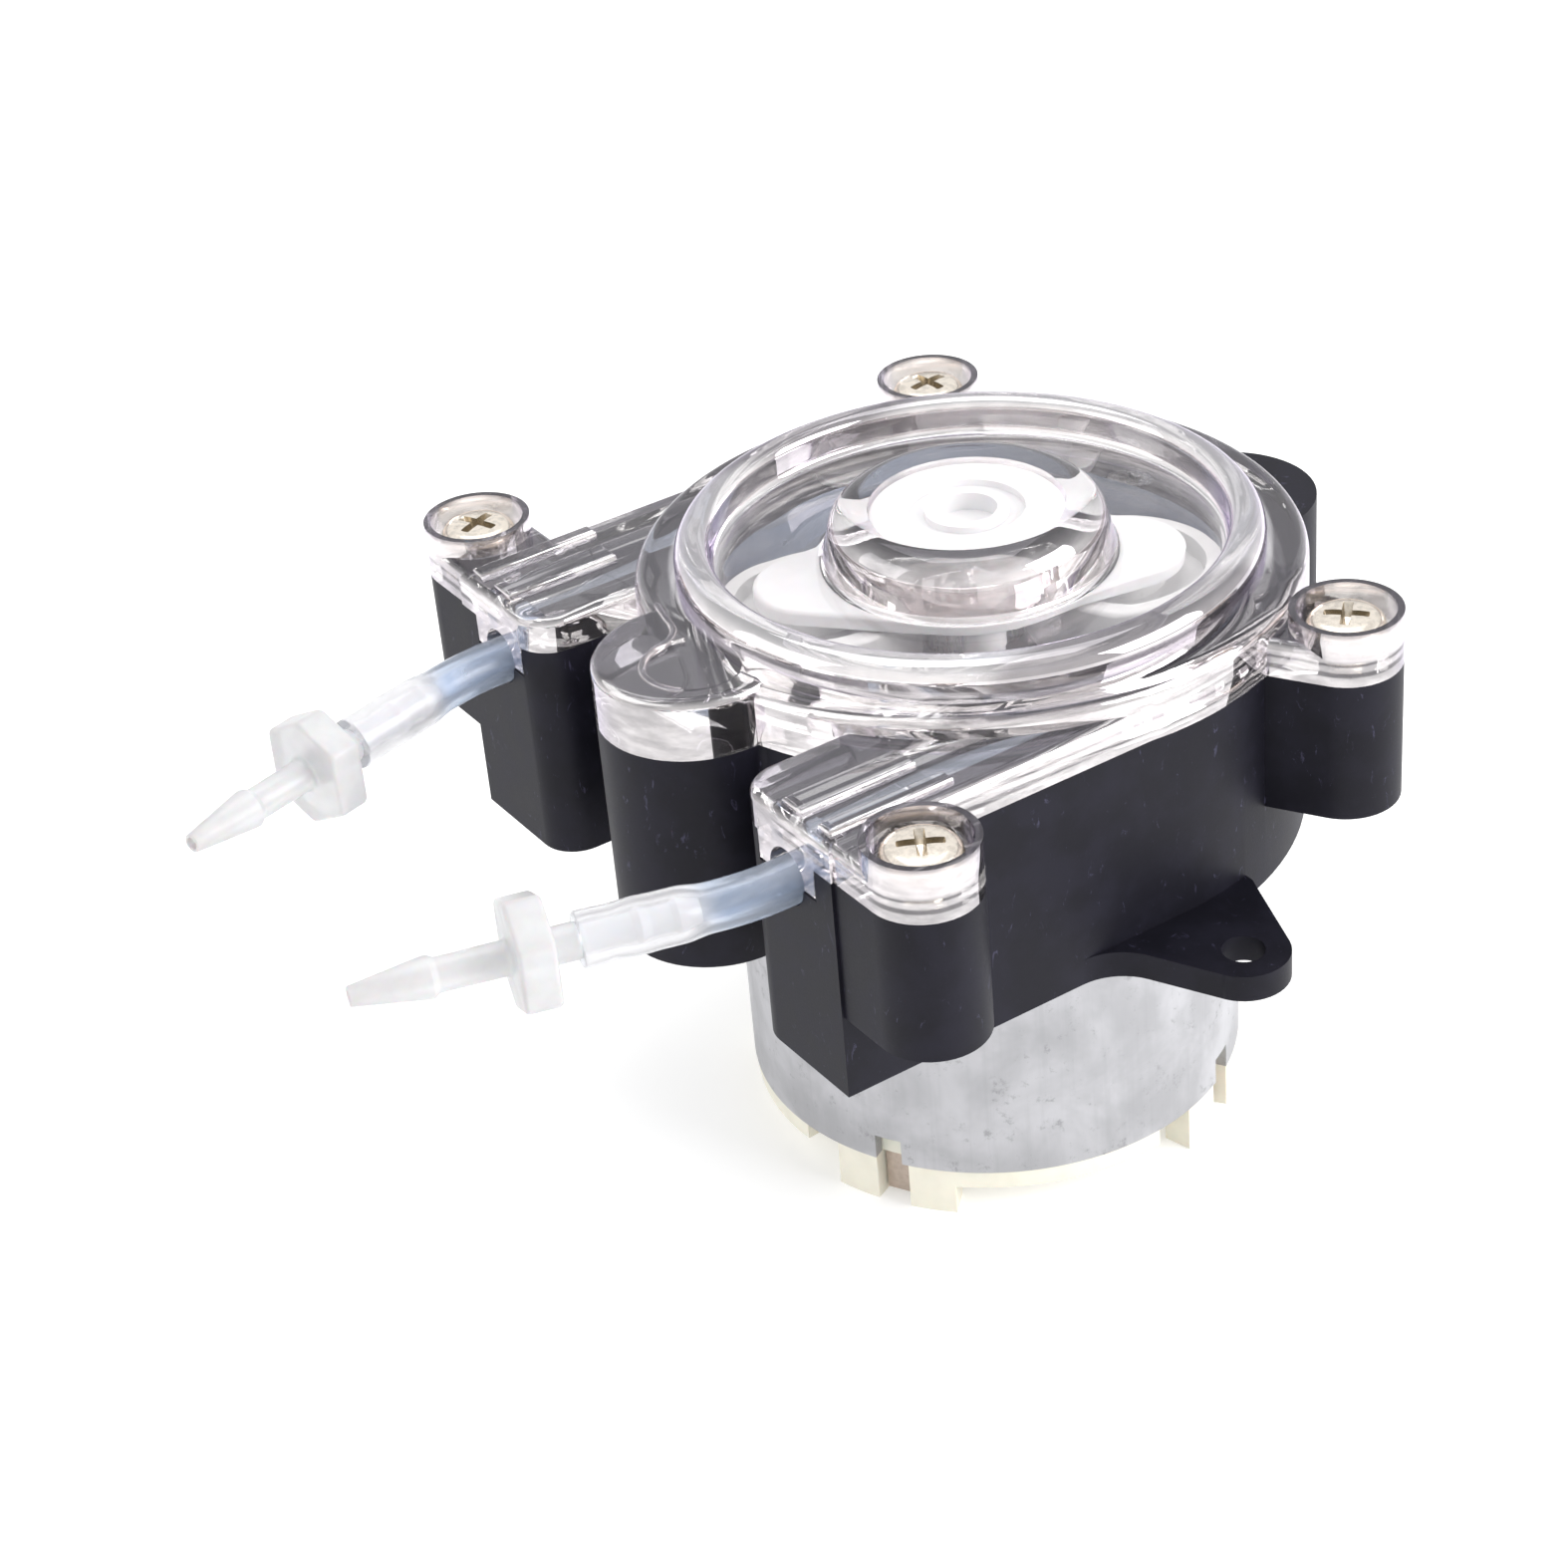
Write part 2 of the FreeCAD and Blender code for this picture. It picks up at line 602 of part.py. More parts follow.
def arch(side):
    """The foot of the cover that fills a block's slot over the tube and leaves an arch."""
    y0, y1 = FRONT_Y, FRONT_Y + ARCH_DEPTH
    foot = slab(TUBE_X - ARCH_HALF_W, TUBE_X + ARCH_HALF_W, y0, y1, TUBE_Z + ARCH_LIFT, BODY_H)
    spring = TUBE_Z + ARCH_OPENING_TOP - ARCH_OPENING_R
    opening = Part.makeCylinder(ARCH_OPENING_R, y1 - y0 + 2 * PAST, V(TUBE_X, y0 - PAST, spring), V(0, 1, 0))
    below = slab(TUBE_X - ARCH_OPENING_R, TUBE_X + ARCH_OPENING_R, y0 - PAST, y1 + PAST,
                 TUBE_Z - PAST, spring)
    foot = foot.cut([opening, below])
    return foot if side > 0 else mirrored(foot)


def lid_ribs(side):
    """The two straight ribs that stand on the lid of a tube block."""
    top = PLATE_TOP + RIB_H
    y0 = FRONT_Y + PLATE_ROUND
    y1 = FRONT_Y + RIB_L
    ribs = []
    for x, w, end in ((TUBE_X, RIB_W, y1), (BODY_R - OUTER_RIB_IN, OUTER_RIB_W, y1 + PLATE_ROUND)):
        rib = slab(x - w / 2, x + w / 2, y0, end, PLATE_TOP - BITE, top)
        rib = round_edges(rib, RIB_ROUND, lambda e: is_level(e, top))
        ribs.append(rib if side > 0 else mirrored(rib))
    return ribs


def bulge_lid():
    """The lid of the front bulge, level with the flange, with a raised crescent on its outer side."""
    top = FLANGE_Z + CRESCENT_H
    lid = disc(FRONT_BULGE_R, BODY_H, top, 0, -BULGE_Y)
    lid = round_edges(lid, PLATE_ROUND, lambda e: is_level(e, top))
    hollow = disc(CRESCENT_R, FLANGE_Z, top + PAST, CRESCENT_X, -BULGE_Y - CRESCENT_AHEAD)
    return lid.cut([hollow, disc(FLANGE_R - CRESCENT_IN, FLANGE_Z, top + PAST)])


def drum():
    """The round top of the cover: flange, drum ring, dish and centre boss."""
    foot_r = CENTRE_R + CENTRE_FOOT
    profile = [
        (0, POCKET_Z), (FLANGE_R, POCKET_Z), (FLANGE_R, FLANGE_Z), (DRUM_R, FLANGE_Z), (DRUM_R, DRUM_Z),
        (DISH_R, DRUM_Z), (DISH_R, DISH_Z), (foot_r, DISH_Z), (CENTRE_R, CENTRE_Z), (0, CENTRE_Z),
    ]
    shape = revolved(profile)
    shape = round_edges(shape, FLANGE_EDGE_ROUND, lambda e: is_circle(e, FLANGE_R, FLANGE_Z))
    shape = round_edges(shape, DRUM_ROUND, lambda e: is_circle(e, DRUM_R, DRUM_Z))
    shape = round_edges(shape, CENTRE_ROUND, lambda e: is_circle(e, CENTRE_R, CENTRE_Z))
    shape = round_edges(shape, DRUM_INNER_ROUND, lambda e: is_circle(e, DISH_R, DRUM_Z))
    soft = ((DISH_R, DISH_Z), (foot_r, DISH_Z))
    return round_edges(shape, DISH_FILLET, lambda e: any(is_circle(e, r, z) for r, z in soft))


def clear_cover():
    """The clear moulded cover with its cups, ribs and arches."""
    plate = head_outline(BODY_H, PLATE_TOP, FLANGE_R, BODY_H)
    plate = round_edges(plate, PLATE_ROUND, lambda e: is_level(e, PLATE_TOP))
    shape = fused(plate, drum(), bulge_lid())
    extras = [disc(CUP_R, BODY_H + BITE, CUP_RIM_Z, x, y) for x, y in screw_places()]
    for side in SIDES:
        extras += [arch(side), *lid_ribs(side)]
    shape = fused(shape, *extras)
    cuts = [
        disc(POCKET_R, BODY_H - PAST, POCKET_Z),
        disc(HUB_R + HUB_FIT, POCKET_Z - PAST, HUB_ROOF_Z),
    ]
    for x, y in screw_places():
        cuts.append(disc(CUP_INNER_R, CUP_FLOOR_Z, CUP_RIM_Z + PAST, x, y))
        cuts.append(disc(SCREW_R + SCREW_CLEARANCE, BODY_H - PAST, CUP_FLOOR_Z + PAST, x, y))
    return shape.cut(cuts)


def tube_section(x, y, half_t, half_h):
    """A closed section across the tube: two arcs or lines at the sides, two round ends.

    half_t is half the thickness across x and half_h half the height. Where they are equal
    the section is a circle, and otherwise a slot with straight sides.
    """
    if half_t == half_h:
        dx = dz = half_t * math.sqrt(0.5)
    else:
        dx, dz = half_t, half_h - half_t

    def at(px, pz):
        return V(x + px, y, TUBE_Z + pz)

    def side(a, mid, b):
        if half_t == half_h:
            return Part.Arc(a, mid, b).toShape()
        return Part.LineSegment(a, b).toShape()

    edges = [
        side(at(dx, -dz), at(half_t, 0), at(dx, dz)),
        Part.Arc(at(dx, dz), at(0, half_h), at(-dx, dz)).toShape(),
        side(at(-dx, dz), at(-half_t, 0), at(-dx, -dz)),
        Part.Arc(at(-dx, -dz), at(0, -half_h), at(dx, -dz)).toShape(),
    ]
    return Part.Wire(edges)


def bend_start_y():
    """Where the tube's bend starts, in front of the block."""
    return FRONT_Y - TUBE_STUB


def after_bend():
    """The point and the direction in which the right-hand tube leaves its bend."""
    a = math.radians(TUBE_BEND_DEG)
    x = TUBE_X - TUBE_BEND_R * (1 - math.cos(a))
    y = bend_start_y() - TUBE_BEND_R * math.sin(a)
    return V(x, y, TUBE_Z), V(-math.sin(a), -math.cos(a), 0)


def bent_rod(r):
    """A round rod along the right-hand tube's bend."""
    y = bend_start_y()
    circle = Part.makeCircle(r, V(TUBE_X, y, TUBE_Z), V(0, 1, 0))
    face = Part.Face(Part.Wire([circle]))
    return face.revolve(V(TUBE_X - TUBE_BEND_R, y, 0), V(0, 0, -1), TUBE_BEND_DEG)


def tube_half():
    """The right-hand half of the tube, from the pump's middle plane to its free end."""
    half_t = PRESSED_T / 2
    half_h = PRESSED_H / 2
    flat = Part.Face(tube_section(PRESSED_X, 0, half_t, half_h))
    round_end = tube_section(TUBE_X, ROUND_START_Y, TUBE_R, TUBE_R)
    round_run_l = ROUND_START_Y - bend_start_y()
    start, way = after_bend()
    ramp_start = start + way * SWELL_START
    ramp_end = ramp_start + way * SWELL_RAMP
    pieces = [
        flat.extrude(V(0, PRESSED_END_Y, 0)),
        Part.makeLoft([tube_section(PRESSED_X, PRESSED_END_Y, half_t, half_h), round_end], True),
        Part.Face(round_end).extrude(V(0, -round_run_l, 0)),
        bent_rod(TUBE_R),
        Part.makeCylinder(TUBE_R, SWELL_START, start, way),
        Part.makeCone(TUBE_R, SWELL_R, SWELL_RAMP, ramp_start, way),
        Part.makeCylinder(SWELL_R, TUBE_LAST_RUN - SWELL_START - SWELL_RAMP, ramp_end, way),
    ]
    pressed = flat.revolve(V(0, 0, 0), Z_AXIS, 90)
    solid = pressed.fuse(pieces)
    barb_room = BARB_DEPTH + BARB_ROOM
    barb_start = start + way * (TUBE_LAST_RUN - barb_room)
    bore = Part.makeCylinder(TUBE_BORE_R, round_run_l, V(TUBE_X, ROUND_START_Y, TUBE_Z), V(0, -1, 0))
    bore = bore.fuse([
        bent_rod(TUBE_BORE_R),
        Part.makeCylinder(TUBE_BORE_R, TUBE_LAST_RUN, start, way),
        Part.makeCylinder(BARB_RIDGE_R + BARB_FIT, barb_room + PAST, barb_start, way),
    ])
    return solid.cut(bore)


def pump_tube():
    """The silicone tube, pressed flat where the rollers pass."""
    half = tube_half()
    return fused(half, mirrored(half))


def connector_profile():
    """Radii along the connector's axis, measured outwards from the tube's end."""
    outer = HEX_GAP + HEX_T
    ridge = outer + OUTER_NECK_L
    tip = ridge + OUTER_TIP_L
    middle = -BARB_DEPTH / 2
    return [
        (CONNECTOR_BORE_R, -BARB_DEPTH), (BARB_NECK_R, -BARB_DEPTH),
        (BARB_RIDGE_R, BARB_TAPER - BARB_DEPTH), (BARB_NECK_R, BARB_TAPER + BARB_BACK - BARB_DEPTH),
        (BARB_RIDGE_R, middle), (BARB_NECK_R, middle + BARB_BACK),
        (BARB_NECK_R, -BARB_BACK), (ROOT_NECK_R, 0), (ROOT_NECK_R, HEX_GAP + BITE),
        (OUTER_NECK_R, outer - BITE), (OUTER_NECK_R, ridge), (OUTER_RIDGE_R, ridge + OUTER_RIDGE_L / 2),
        (OUTER_RIDGE_R, ridge + OUTER_RIDGE_L), (OUTER_TIP_R, tip), (CONNECTOR_BORE_R, tip),
    ]


def tube_connector(side):
    """A barbed connector with a six-sided flange, on the tube's free end."""
    half_w = HEX_FLATS / 2
    tall = HEX_CORNERS / 2
    points = [(tall, 0), (tall / 2, half_w), (-tall / 2, half_w),
              (-tall, 0), (-tall / 2, -half_w), (tall / 2, -half_w)]
    flange = polygon_prism(points, HEX_GAP, HEX_GAP + HEX_T)
    flange = round_edges(flange, HEX_ROUND, lambda e: e.BoundBox.ZLength > HEX_T * 0.9)
    shape = fused(revolved(connector_profile()), flange)
    shape = shape.cut(disc(CONNECTOR_BORE_R, HEX_GAP - PAST, HEX_GAP + HEX_T + PAST))
    start, way = after_bend()
    shape.rotate(V(0, 0, 0), V(1, 0, 0), 90)
    shape.rotate(V(0, 0, 0), V(0, 1, 0), 90)
    shape.rotate(V(0, 0, 0), Z_AXIS, -TUBE_BEND_DEG)
    shape.translate(start + way * TUBE_LAST_RUN)
    return shape if side > 0 else mirrored(shape)


def lobed_plate(z0, z1):
    """A bar along +X: a round middle and two round ends, with straight sides that touch all three."""
    lean = math.asin((BAR_MIDDLE_R - LOBE_R) / ROLLER_OFFSET)
    middle_x, middle_y = BAR_MIDDLE_R * math.sin(lean), BAR_MIDDLE_R * math.cos(lean)
    end_x, end_y = ROLLER_OFFSET + LOBE_R * math.sin(lean), LOBE_R * math.cos(lean)
    tip_x = ROLLER_OFFSET + LOBE_R
    edges = []
    for side in SIDES:
        end_a, end_b = V(side * end_x, -side * end_y, z0), V(side * end_x, side * end_y, z0)
        middle_a, middle_b = V(side * middle_x, side * middle_y, z0), V(-side * middle_x, side * middle_y, z0)
        next_end = V(-side * end_x, side * end_y, z0)
        edges += [
            Part.Arc(end_a, V(side * tip_x, 0, z0), end_b).toShape(),
            Part.LineSegment(end_b, middle_a).toShape(),
            Part.Arc(middle_a, V(0, side * BAR_MIDDLE_R, z0), middle_b).toShape(),
            Part.LineSegment(middle_b, next_end).toShape(),
        ]
    outline = Part.Wire(Part.__sortEdges__(edges))
    return Part.Face(outline).extrude(V(0, 0, z1 - z0))


def carrier_base():
    """The rotor's lower plate, which runs on the motor's bearing boss."""
    plate = lobed_plate(BASE_Z, BASE_TOP)
    cuts = [disc(BOSS_R + RUN_FIT, BASE_Z - PAST, BASE_TOP + PAST)]
    for side in SIDES:
        cuts.append(disc(PIN_R + PIN_FIT, BASE_Z - PAST, BASE_TOP + PAST, side * ROLLER_OFFSET, 0))
        cuts.append(carrier_screw_outline(side, CARRIER_SCREW_FIT))
    return turned(plate.cut(cuts), ROTOR_ANGLE)


def carrier_screw_outline(side, clearance):
    """A small flat-headed screw put in from below, larger all round by a clearance."""
    y = side * PILLAR_OFFSET
    neck = BASE_Z + CARRIER_SCREW_HEAD_H
    head = Part.makeCone(CARRIER_SCREW_HEAD_R + clearance, CARRIER_SCREW_R + clearance,
                         CARRIER_SCREW_HEAD_H, V(0, y, BASE_Z))
    shank = disc(CARRIER_SCREW_R + clearance, neck, BASE_Z + CARRIER_SCREW_L + clearance, 0, y)
    return fused(head, shank)


def carrier_screws():
    """The two slotted screws that hold the rotor's base to its pillars."""
    half_l = CARRIER_SCREW_HEAD_R
    half_w = CARRIER_SLOT_W / 2
    screws = []
    for side in SIDES:
        y = side * PILLAR_OFFSET
        slot = slab(-half_l, half_l, y - half_w, y + half_w, BASE_Z - PAST, BASE_Z + CARRIER_SLOT_DEPTH)
        screws.append(turned(carrier_screw_outline(side, 0.0).cut(slot), ROTOR_ANGLE))
    return Part.makeCompound(screws)


def rotor_bar():
    """The white top bar of the rotor, with its pillars below and its hub above."""
    bar = round_edges(lobed_plate(BAR_Z, BAR_TOP), BAR_ROUND, lambda e: is_level(e, BAR_TOP))
    hub = disc(HUB_R, BAR_TOP - BITE, HUB_TOP)
    hub = round_edges(hub, BAR_ROUND, lambda e: is_level(e, HUB_TOP))
    pillars = [disc(PILLAR_R, BASE_TOP, BAR_Z + BITE, 0, side * PILLAR_OFFSET) for side in SIDES]
    shape = fused(bar, hub, *pillars)
    cuts = [
        tube(HUB_RING[1], HUB_RING[0], HUB_TOP - HUB_RING_DEPTH, HUB_TOP + PAST),
        disc(HUB_DIMPLE_R, HUB_TOP - HUB_DIMPLE_DEPTH, HUB_TOP + PAST),
    ]
    screw_end = BASE_Z + CARRIER_SCREW_L + CARRIER_SCREW_FIT
    for side in SIDES:
        cuts.append(disc(PIN_R + PIN_FIT, BAR_Z - PAST, BAR_TOP - PIN_COVER, side * ROLLER_OFFSET, 0))
        cuts.append(disc(CARRIER_SCREW_R + THREAD_CLEARANCE, BASE_Z, screw_end, 0, side * PILLAR_OFFSET))
    return turned(shape.cut(cuts), ROTOR_ANGLE)


def roller_pins():
    """The two steel pins between base and bar."""
    top = BAR_TOP - PIN_COVER - PIN_END_PLAY
    pins = [disc(PIN_R, BASE_Z, top, side * ROLLER_OFFSET, 0) for side in SIDES]
    return turned(Part.makeCompound(pins), ROTOR_ANGLE)


def roller_washers():
    """The two washers on which the rollers run."""
    rings = [tube(WASHER_R, PIN_R + RUN_FIT, BASE_TOP, BASE_TOP + WASHER_T, side * ROLLER_OFFSET, 0)
             for side in SIDES]
    return turned(Part.makeCompound(rings), ROTOR_ANGLE)


def roller(side):
    """One pressing roller, with a moulded groove in both faces."""
    low, high = ROLLER_Z
    inner, outer = ROLLER_GROOVE
    shape = disc(ROLLER_R, low, high)
    shape = round_edges(shape, ROLLER_ROUND, lambda e: is_level(e, low) or is_level(e, high))
    cuts = [
        disc(BUSH_R + PIN_FIT, low - PAST, high + PAST),
        tube(outer, inner, low - PAST, low + ROLLER_GROOVE_DEPTH),
        tube(outer, inner, high - ROLLER_GROOVE_DEPTH, high + PAST),
    ]
    shape = shape.cut(cuts)
    shape.translate(V(side * ROLLER_OFFSET, 0, 0))
    return turned(shape, ROTOR_ANGLE)


def roller_bush(side):
    """The plain bush inside a roller."""
    return turned(tube(BUSH_R, PIN_R + RUN_FIT, *ROLLER_Z, side * ROLLER_OFFSET, 0), ROTOR_ANGLE)


def drive_sleeve():
    """The sleeve on the motor shaft that turns both rollers by friction."""
    sleeve = tube(SLEEVE_R, SHAFT_R, SLEEVE_BOTTOM, SLEEVE_TOP)
    return round_edges(sleeve, SLEEVE_ROUND, lambda e: is_circle(e, SLEEVE_R, SLEEVE_BOTTOM)
                       or is_circle(e, SLEEVE_R, SLEEVE_TOP))


def motor_bush(span):
    """A sintered bush of the motor between two heights."""
    return tube(BUSHING_R, SHAFT_R + RUN_FIT, *span)


def motor_shaft():
    """The motor's shaft, with a chamfer at both ends."""
    low = CAP_BOSS_INSIDE + SHAFT_END_PLAY
    shaft = disc(SHAFT_R, low, SHAFT_TOP)
    ends = [e for e in shaft.Edges if is_level(e, low) or is_level(e, SHAFT_TOP)]
    return shaft.makeChamfer(SHAFT_CHAMFER, ends)


def motor_can():
    """The zinc-plated can: a drawn cup with a bearing boss, notched round its open end."""
    under = MOTOR_FACE - CAN_FACE_T
    bush_low, bush_high = FRONT_BUSH
    shaft_hole = SHAFT_R + SHAFT_ROOM
    profile = [
        (CAN_R, CAN_BOTTOM), (CAN_R, MOTOR_FACE), (BOSS_R, MOTOR_FACE), (BOSS_R, BOSS_TOP),
        (shaft_hole, BOSS_TOP), (shaft_hole, bush_high), (BUSHING_R, bush_high), (BUSHING_R, bush_low),
        (BOSS_R, bush_low), (BOSS_R, under), (CAN_INNER_R, under), (CAN_INNER_R, CAN_BOTTOM),
    ]
    can = round_edges(revolved(profile), CAN_ROUND, lambda e: is_circle(e, CAN_R, MOTOR_FACE))
    notch = slab(CAN_INNER_R - PAST, CAN_R + PAST, -NOTCH_W / 2, NOTCH_W / 2,
                 CAN_BOTTOM - PAST, CAN_BOTTOM + NOTCH_H)
    cuts = [turned(notch, NOTCH_ANGLE + 90 * k) for k in range(4)]
    for side in SIDES:
        x = side * MOTOR_SCREW_X
        cuts.append(disc(SCREW_R + THREAD_CLEARANCE, under - PAST, MOTOR_FACE + PAST, x, 0))
    return can.cut(cuts)


def motor_screws():
    """The two flat-headed screws that hold the motor under the chamber floor."""
    screws = []
    for side in SIDES:
        recess = cross_recess(side * MOTOR_SCREW_X, 0, CHAMBER_FLOOR)
        screws.append(motor_screw_outline(side, 0.0).cut(recess).removeSplitter())
    return Part.makeCompound(screws)


def motor_magnets():
    """Four arc magnets glued inside the can."""
    magnet = sector(MAGNET_R - MAGNET_T, MAGNET_R, 45 - MAGNET_ARC / 2, 45 + MAGNET_ARC / 2, *MAGNET_Z)
    return Part.makeCompound([turned(magnet, 90 * k) for k in range(4)])


def slot_prism(z0, z1):
    """One slot of the core: straight sides, an arc at the hub and an arc at the rim."""
    pitch = 360 / SLOTS
    rim = CORE_R - TOOTH_TIP_T
    lean = math.degrees(math.asin(TOOTH_W / 2 / CORE_HUB_R))
    lean_out = math.degrees(math.asin(TOOTH_W / 2 / rim))
    hub_a, hub_mid, hub_b = [polar(CORE_HUB_R, a, z0) for a in (lean, pitch / 2, pitch - lean)]
    rim_a, rim_mid, rim_b = [polar(rim, a, z0) for a in (lean_out, pitch / 2, pitch - lean_out)]
    edges = [
        Part.LineSegment(hub_a, rim_a).toShape(),
        Part.Arc(rim_a, rim_mid, rim_b).toShape(),
        Part.LineSegment(rim_b, hub_b).toShape(),
        Part.Arc(hub_b, hub_mid, hub_a).toShape(),
    ]
    return Part.Face(Part.Wire(edges)).extrude(V(0, 0, z1 - z0))


def armature_core():
    """The laminated core with its slots."""
    low, high = CORE_Z
    half = SLOT_OPENING / 2
    slot = slot_prism(low - PAST, high + PAST)
    mouth = slab(CORE_R - TOOTH_TIP_T - PAST, CORE_R + PAST, -half, half, low - PAST, high + PAST)
    cuts = []
    for k in range(SLOTS):
        cuts.append(turned(slot, k * 360 / SLOTS))
        cuts.append(turned(mouth, (k + 0.5) * 360 / SLOTS))
    return tube(CORE_R, SHAFT_R, low, high).cut(cuts)


def armature_windings():
    """One coil round each tooth of the core."""
    low, high = CORE_Z
    inner_w = TOOTH_W / 2 + COIL_GAP
    outer_w = inner_w + COIL_T
    outer = slab(COIL_IN, COIL_OUT, -outer_w, outer_w, low - COIL_END, high + COIL_END)
    outer = round_edges(outer, COIL_T, lambda e: e.BoundBox.XLength > (COIL_OUT - COIL_IN) * 0.9)
    inner = slab(COIL_IN - PAST, COIL_OUT + PAST, -inner_w, inner_w, low - COIL_GAP, high + COIL_GAP)
    coil = outer.cut(inner)
    return Part.makeCompound([turned(coil, k * 360 / SLOTS) for k in range(SLOTS)])


def commutator():
    """The commutator with a slit between its bars."""
    low, high = COMMUTATOR_Z
    half = COMMUTATOR_SLIT / 2
    slit = slab(COMMUTATOR_R - COMMUTATOR_SLIT_DEPTH, COMMUTATOR_R + PAST, -half, half,
                low - PAST, high + PAST)
    slits = [turned(slit, (k + 0.5) * 360 / SLOTS) for k in range(SLOTS)]
    return tube(COMMUTATOR_R, SHAFT_R, low, high).cut(slits)


def shaft_spacers():
    """Spacers that hold the core and commutator between the two bushes."""
    spans = [
        (REAR_BUSH[1] + SHAFT_END_PLAY, COMMUTATOR_Z[0]),
        (COMMUTATOR_Z[1], CORE_Z[0]),
        (CORE_Z[1], FRONT_BUSH[0] - SHAFT_END_PLAY),
    ]
    return Part.makeCompound([tube(SPACER_R, SHAFT_R, low, high) for low, high in spans])


def ring_sector(angles, turn, z0, z1, past=0.0):
    """A piece of the end cap's ring between two angles, wider on both sides by past."""
    inner = CAP_RING_R - CAP_RING_W - past
    return sector(inner, CAP_RING_R + past, angles[0] + turn, angles[1] + turn, z0, z1)


def motor_end_cap():
    """The ivory end cap: a plate in the can's mouth, a notched ring, feet and the rear bearing boss."""
    bush_low, bush_high = REAR_BUSH
    plate = disc(CAN_INNER_R - CAP_FIT, CAN_BOTTOM, CAP_PLATE_TOP)
    ring = tube(CAP_RING_R, CAP_RING_R - CAP_RING_W, RING_BOTTOM, CAN_BOTTOM)
    between_feet = (FOOT_ANGLES[0][1], FOOT_ANGLES[1][0])
    gaps = []
    feet = []
    for k in range(4):
        for angles in (RING_GAP_ANGLES, between_feet):
            gaps.append(ring_sector(angles, 90 * k, RING_BOTTOM - PAST, CAN_BOTTOM + PAST, PAST))
        for angles in FOOT_ANGLES:
            feet.append(ring_sector(angles, 90 * k, FEET_BOTTOM, RING_BOTTOM + BITE))
    boss = disc(CAP_BOSS_R, CAP_BOSS_BOTTOM, bush_high)
    shape = fused(plate, ring.cut(gaps), boss, *feet)
    cuts = [disc(BUSHING_R, bush_low, bush_high + PAST),
            disc(SHAFT_R + SHAFT_ROOM, CAP_BOSS_INSIDE, bush_low)]
    half_w = TERMINAL_W / 2 + TERMINAL_FIT
    half_t = TERMINAL_T / 2 + TERMINAL_FIT
    slot = slab(TERMINAL_R - half_t, TERMINAL_R + half_t, -half_w, half_w,
                CAN_BOTTOM - PAST, CAP_PLATE_TOP + PAST)
    cuts += [turned(slot, angle) for angle in TERMINAL_ANGLES]
    return shape.cut(cuts)


def motor_terminals():
    """Two solder tabs through the end cap, each with a strip that leads in to its brush arm."""
    half_w = TERMINAL_W / 2
    half_t = TERMINAL_T / 2
    strip_top = CAP_PLATE_TOP + TERMINAL_T
    tab = slab(TERMINAL_R - half_t, TERMINAL_R + half_t, -half_w, half_w, CAN_BOTTOM - TERMINAL_H, strip_top)
    strip = slab(TERMINAL_STRIP_R, TERMINAL_R, -half_w, half_w, CAP_PLATE_TOP, strip_top)
    terminal = fused(tab, strip)
    return Part.makeCompound([turned(terminal, angle) for angle in TERMINAL_ANGLES])


def carbon_brushes():
    """Two carbon brushes on the commutator, each hollowed to its curve."""
    low, high = BRUSH_Z - BRUSH_H / 2, BRUSH_Z + BRUSH_H / 2
    brush = slab(COMMUTATOR_R - BRUSH_BITE, COMMUTATOR_R + BRUSH_L, -BRUSH_W / 2, BRUSH_W / 2, low, high)
    brush = brush.cut(disc(COMMUTATOR_R + BRUSH_GAP, low - PAST, high + PAST))
    return Part.makeCompound([turned(brush, angle) for angle in TERMINAL_ANGLES])


def brush_arms():
    """Two leaf springs that stand on the terminal strips and press the brushes in."""
    half = BRUSH_W / 2
    x = COMMUTATOR_R + BRUSH_L
    foot = CAP_PLATE_TOP + TERMINAL_T
    leaf = slab(x, x + ARM_T, -half, half, foot, BRUSH_Z + BRUSH_H / 2)
    base = slab(x, TERMINAL_STRIP_R + TERMINAL_W, -half, half, foot, foot + ARM_T)
    arm = fused(leaf, base)
    return Part.makeCompound([turned(arm, angle) for angle in TERMINAL_ANGLES])


def all_parts():
    """Every node of the pump by name."""
    return {
        "pump_housing": pump_housing(),
        "clear_cover": clear_cover(),
        "cover_screws": cover_screws(),
        "pump_tube": pump_tube(),
        "tube_connector_left": tube_connector(-1),
        "tube_connector_right": tube_connector(1),
        "carrier_base": carrier_base(),
        "carrier_screws": carrier_screws(),
        "rotor_bar": rotor_bar(),
        "roller_pins": roller_pins(),
        "roller_washers": roller_washers(),
        "roller_1": roller(1),
        "roller_2": roller(-1),
        "roller_bush_1": roller_bush(1),
        "roller_bush_2": roller_bush(-1),
        "drive_sleeve": drive_sleeve(),
        "motor_shaft": motor_shaft(),
        "armature_core": armature_core(),
        "armature_windings": armature_windings(),
        "commutator": commutator(),
        "shaft_spacers": shaft_spacers(),
        "front_bearing": motor_bush(FRONT_BUSH),
        "rear_bearing": motor_bush(REAR_BUSH),
        "motor_can": motor_can(),
        "motor_screws": motor_screws(),
        "motor_magnets": motor_magnets(),
        "motor_end_cap": motor_end_cap(),
        "motor_terminals": motor_terminals(),
        "carbon_brushes": carbon_brushes(),
        "brush_arms": brush_arms(),
    }


def main():
    """Builds every node, writes its file and prints its solids."""
    os.makedirs("parts", exist_ok=True)
    for name, shape in all_parts().items():
        shape.exportStep(f"parts/{name}.step")
        print(f"{name}: {len(shape.Solids)} solid(s), {shape.Volume:.1f} mm3, valid {shape.isValid()}")


main()
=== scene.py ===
"""Looks of a peristaltic dosing pump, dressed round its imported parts.

Metres, +Z up along the pump's axis, tubes towards -Y, origin level with the underside of the ears.
"""

import math

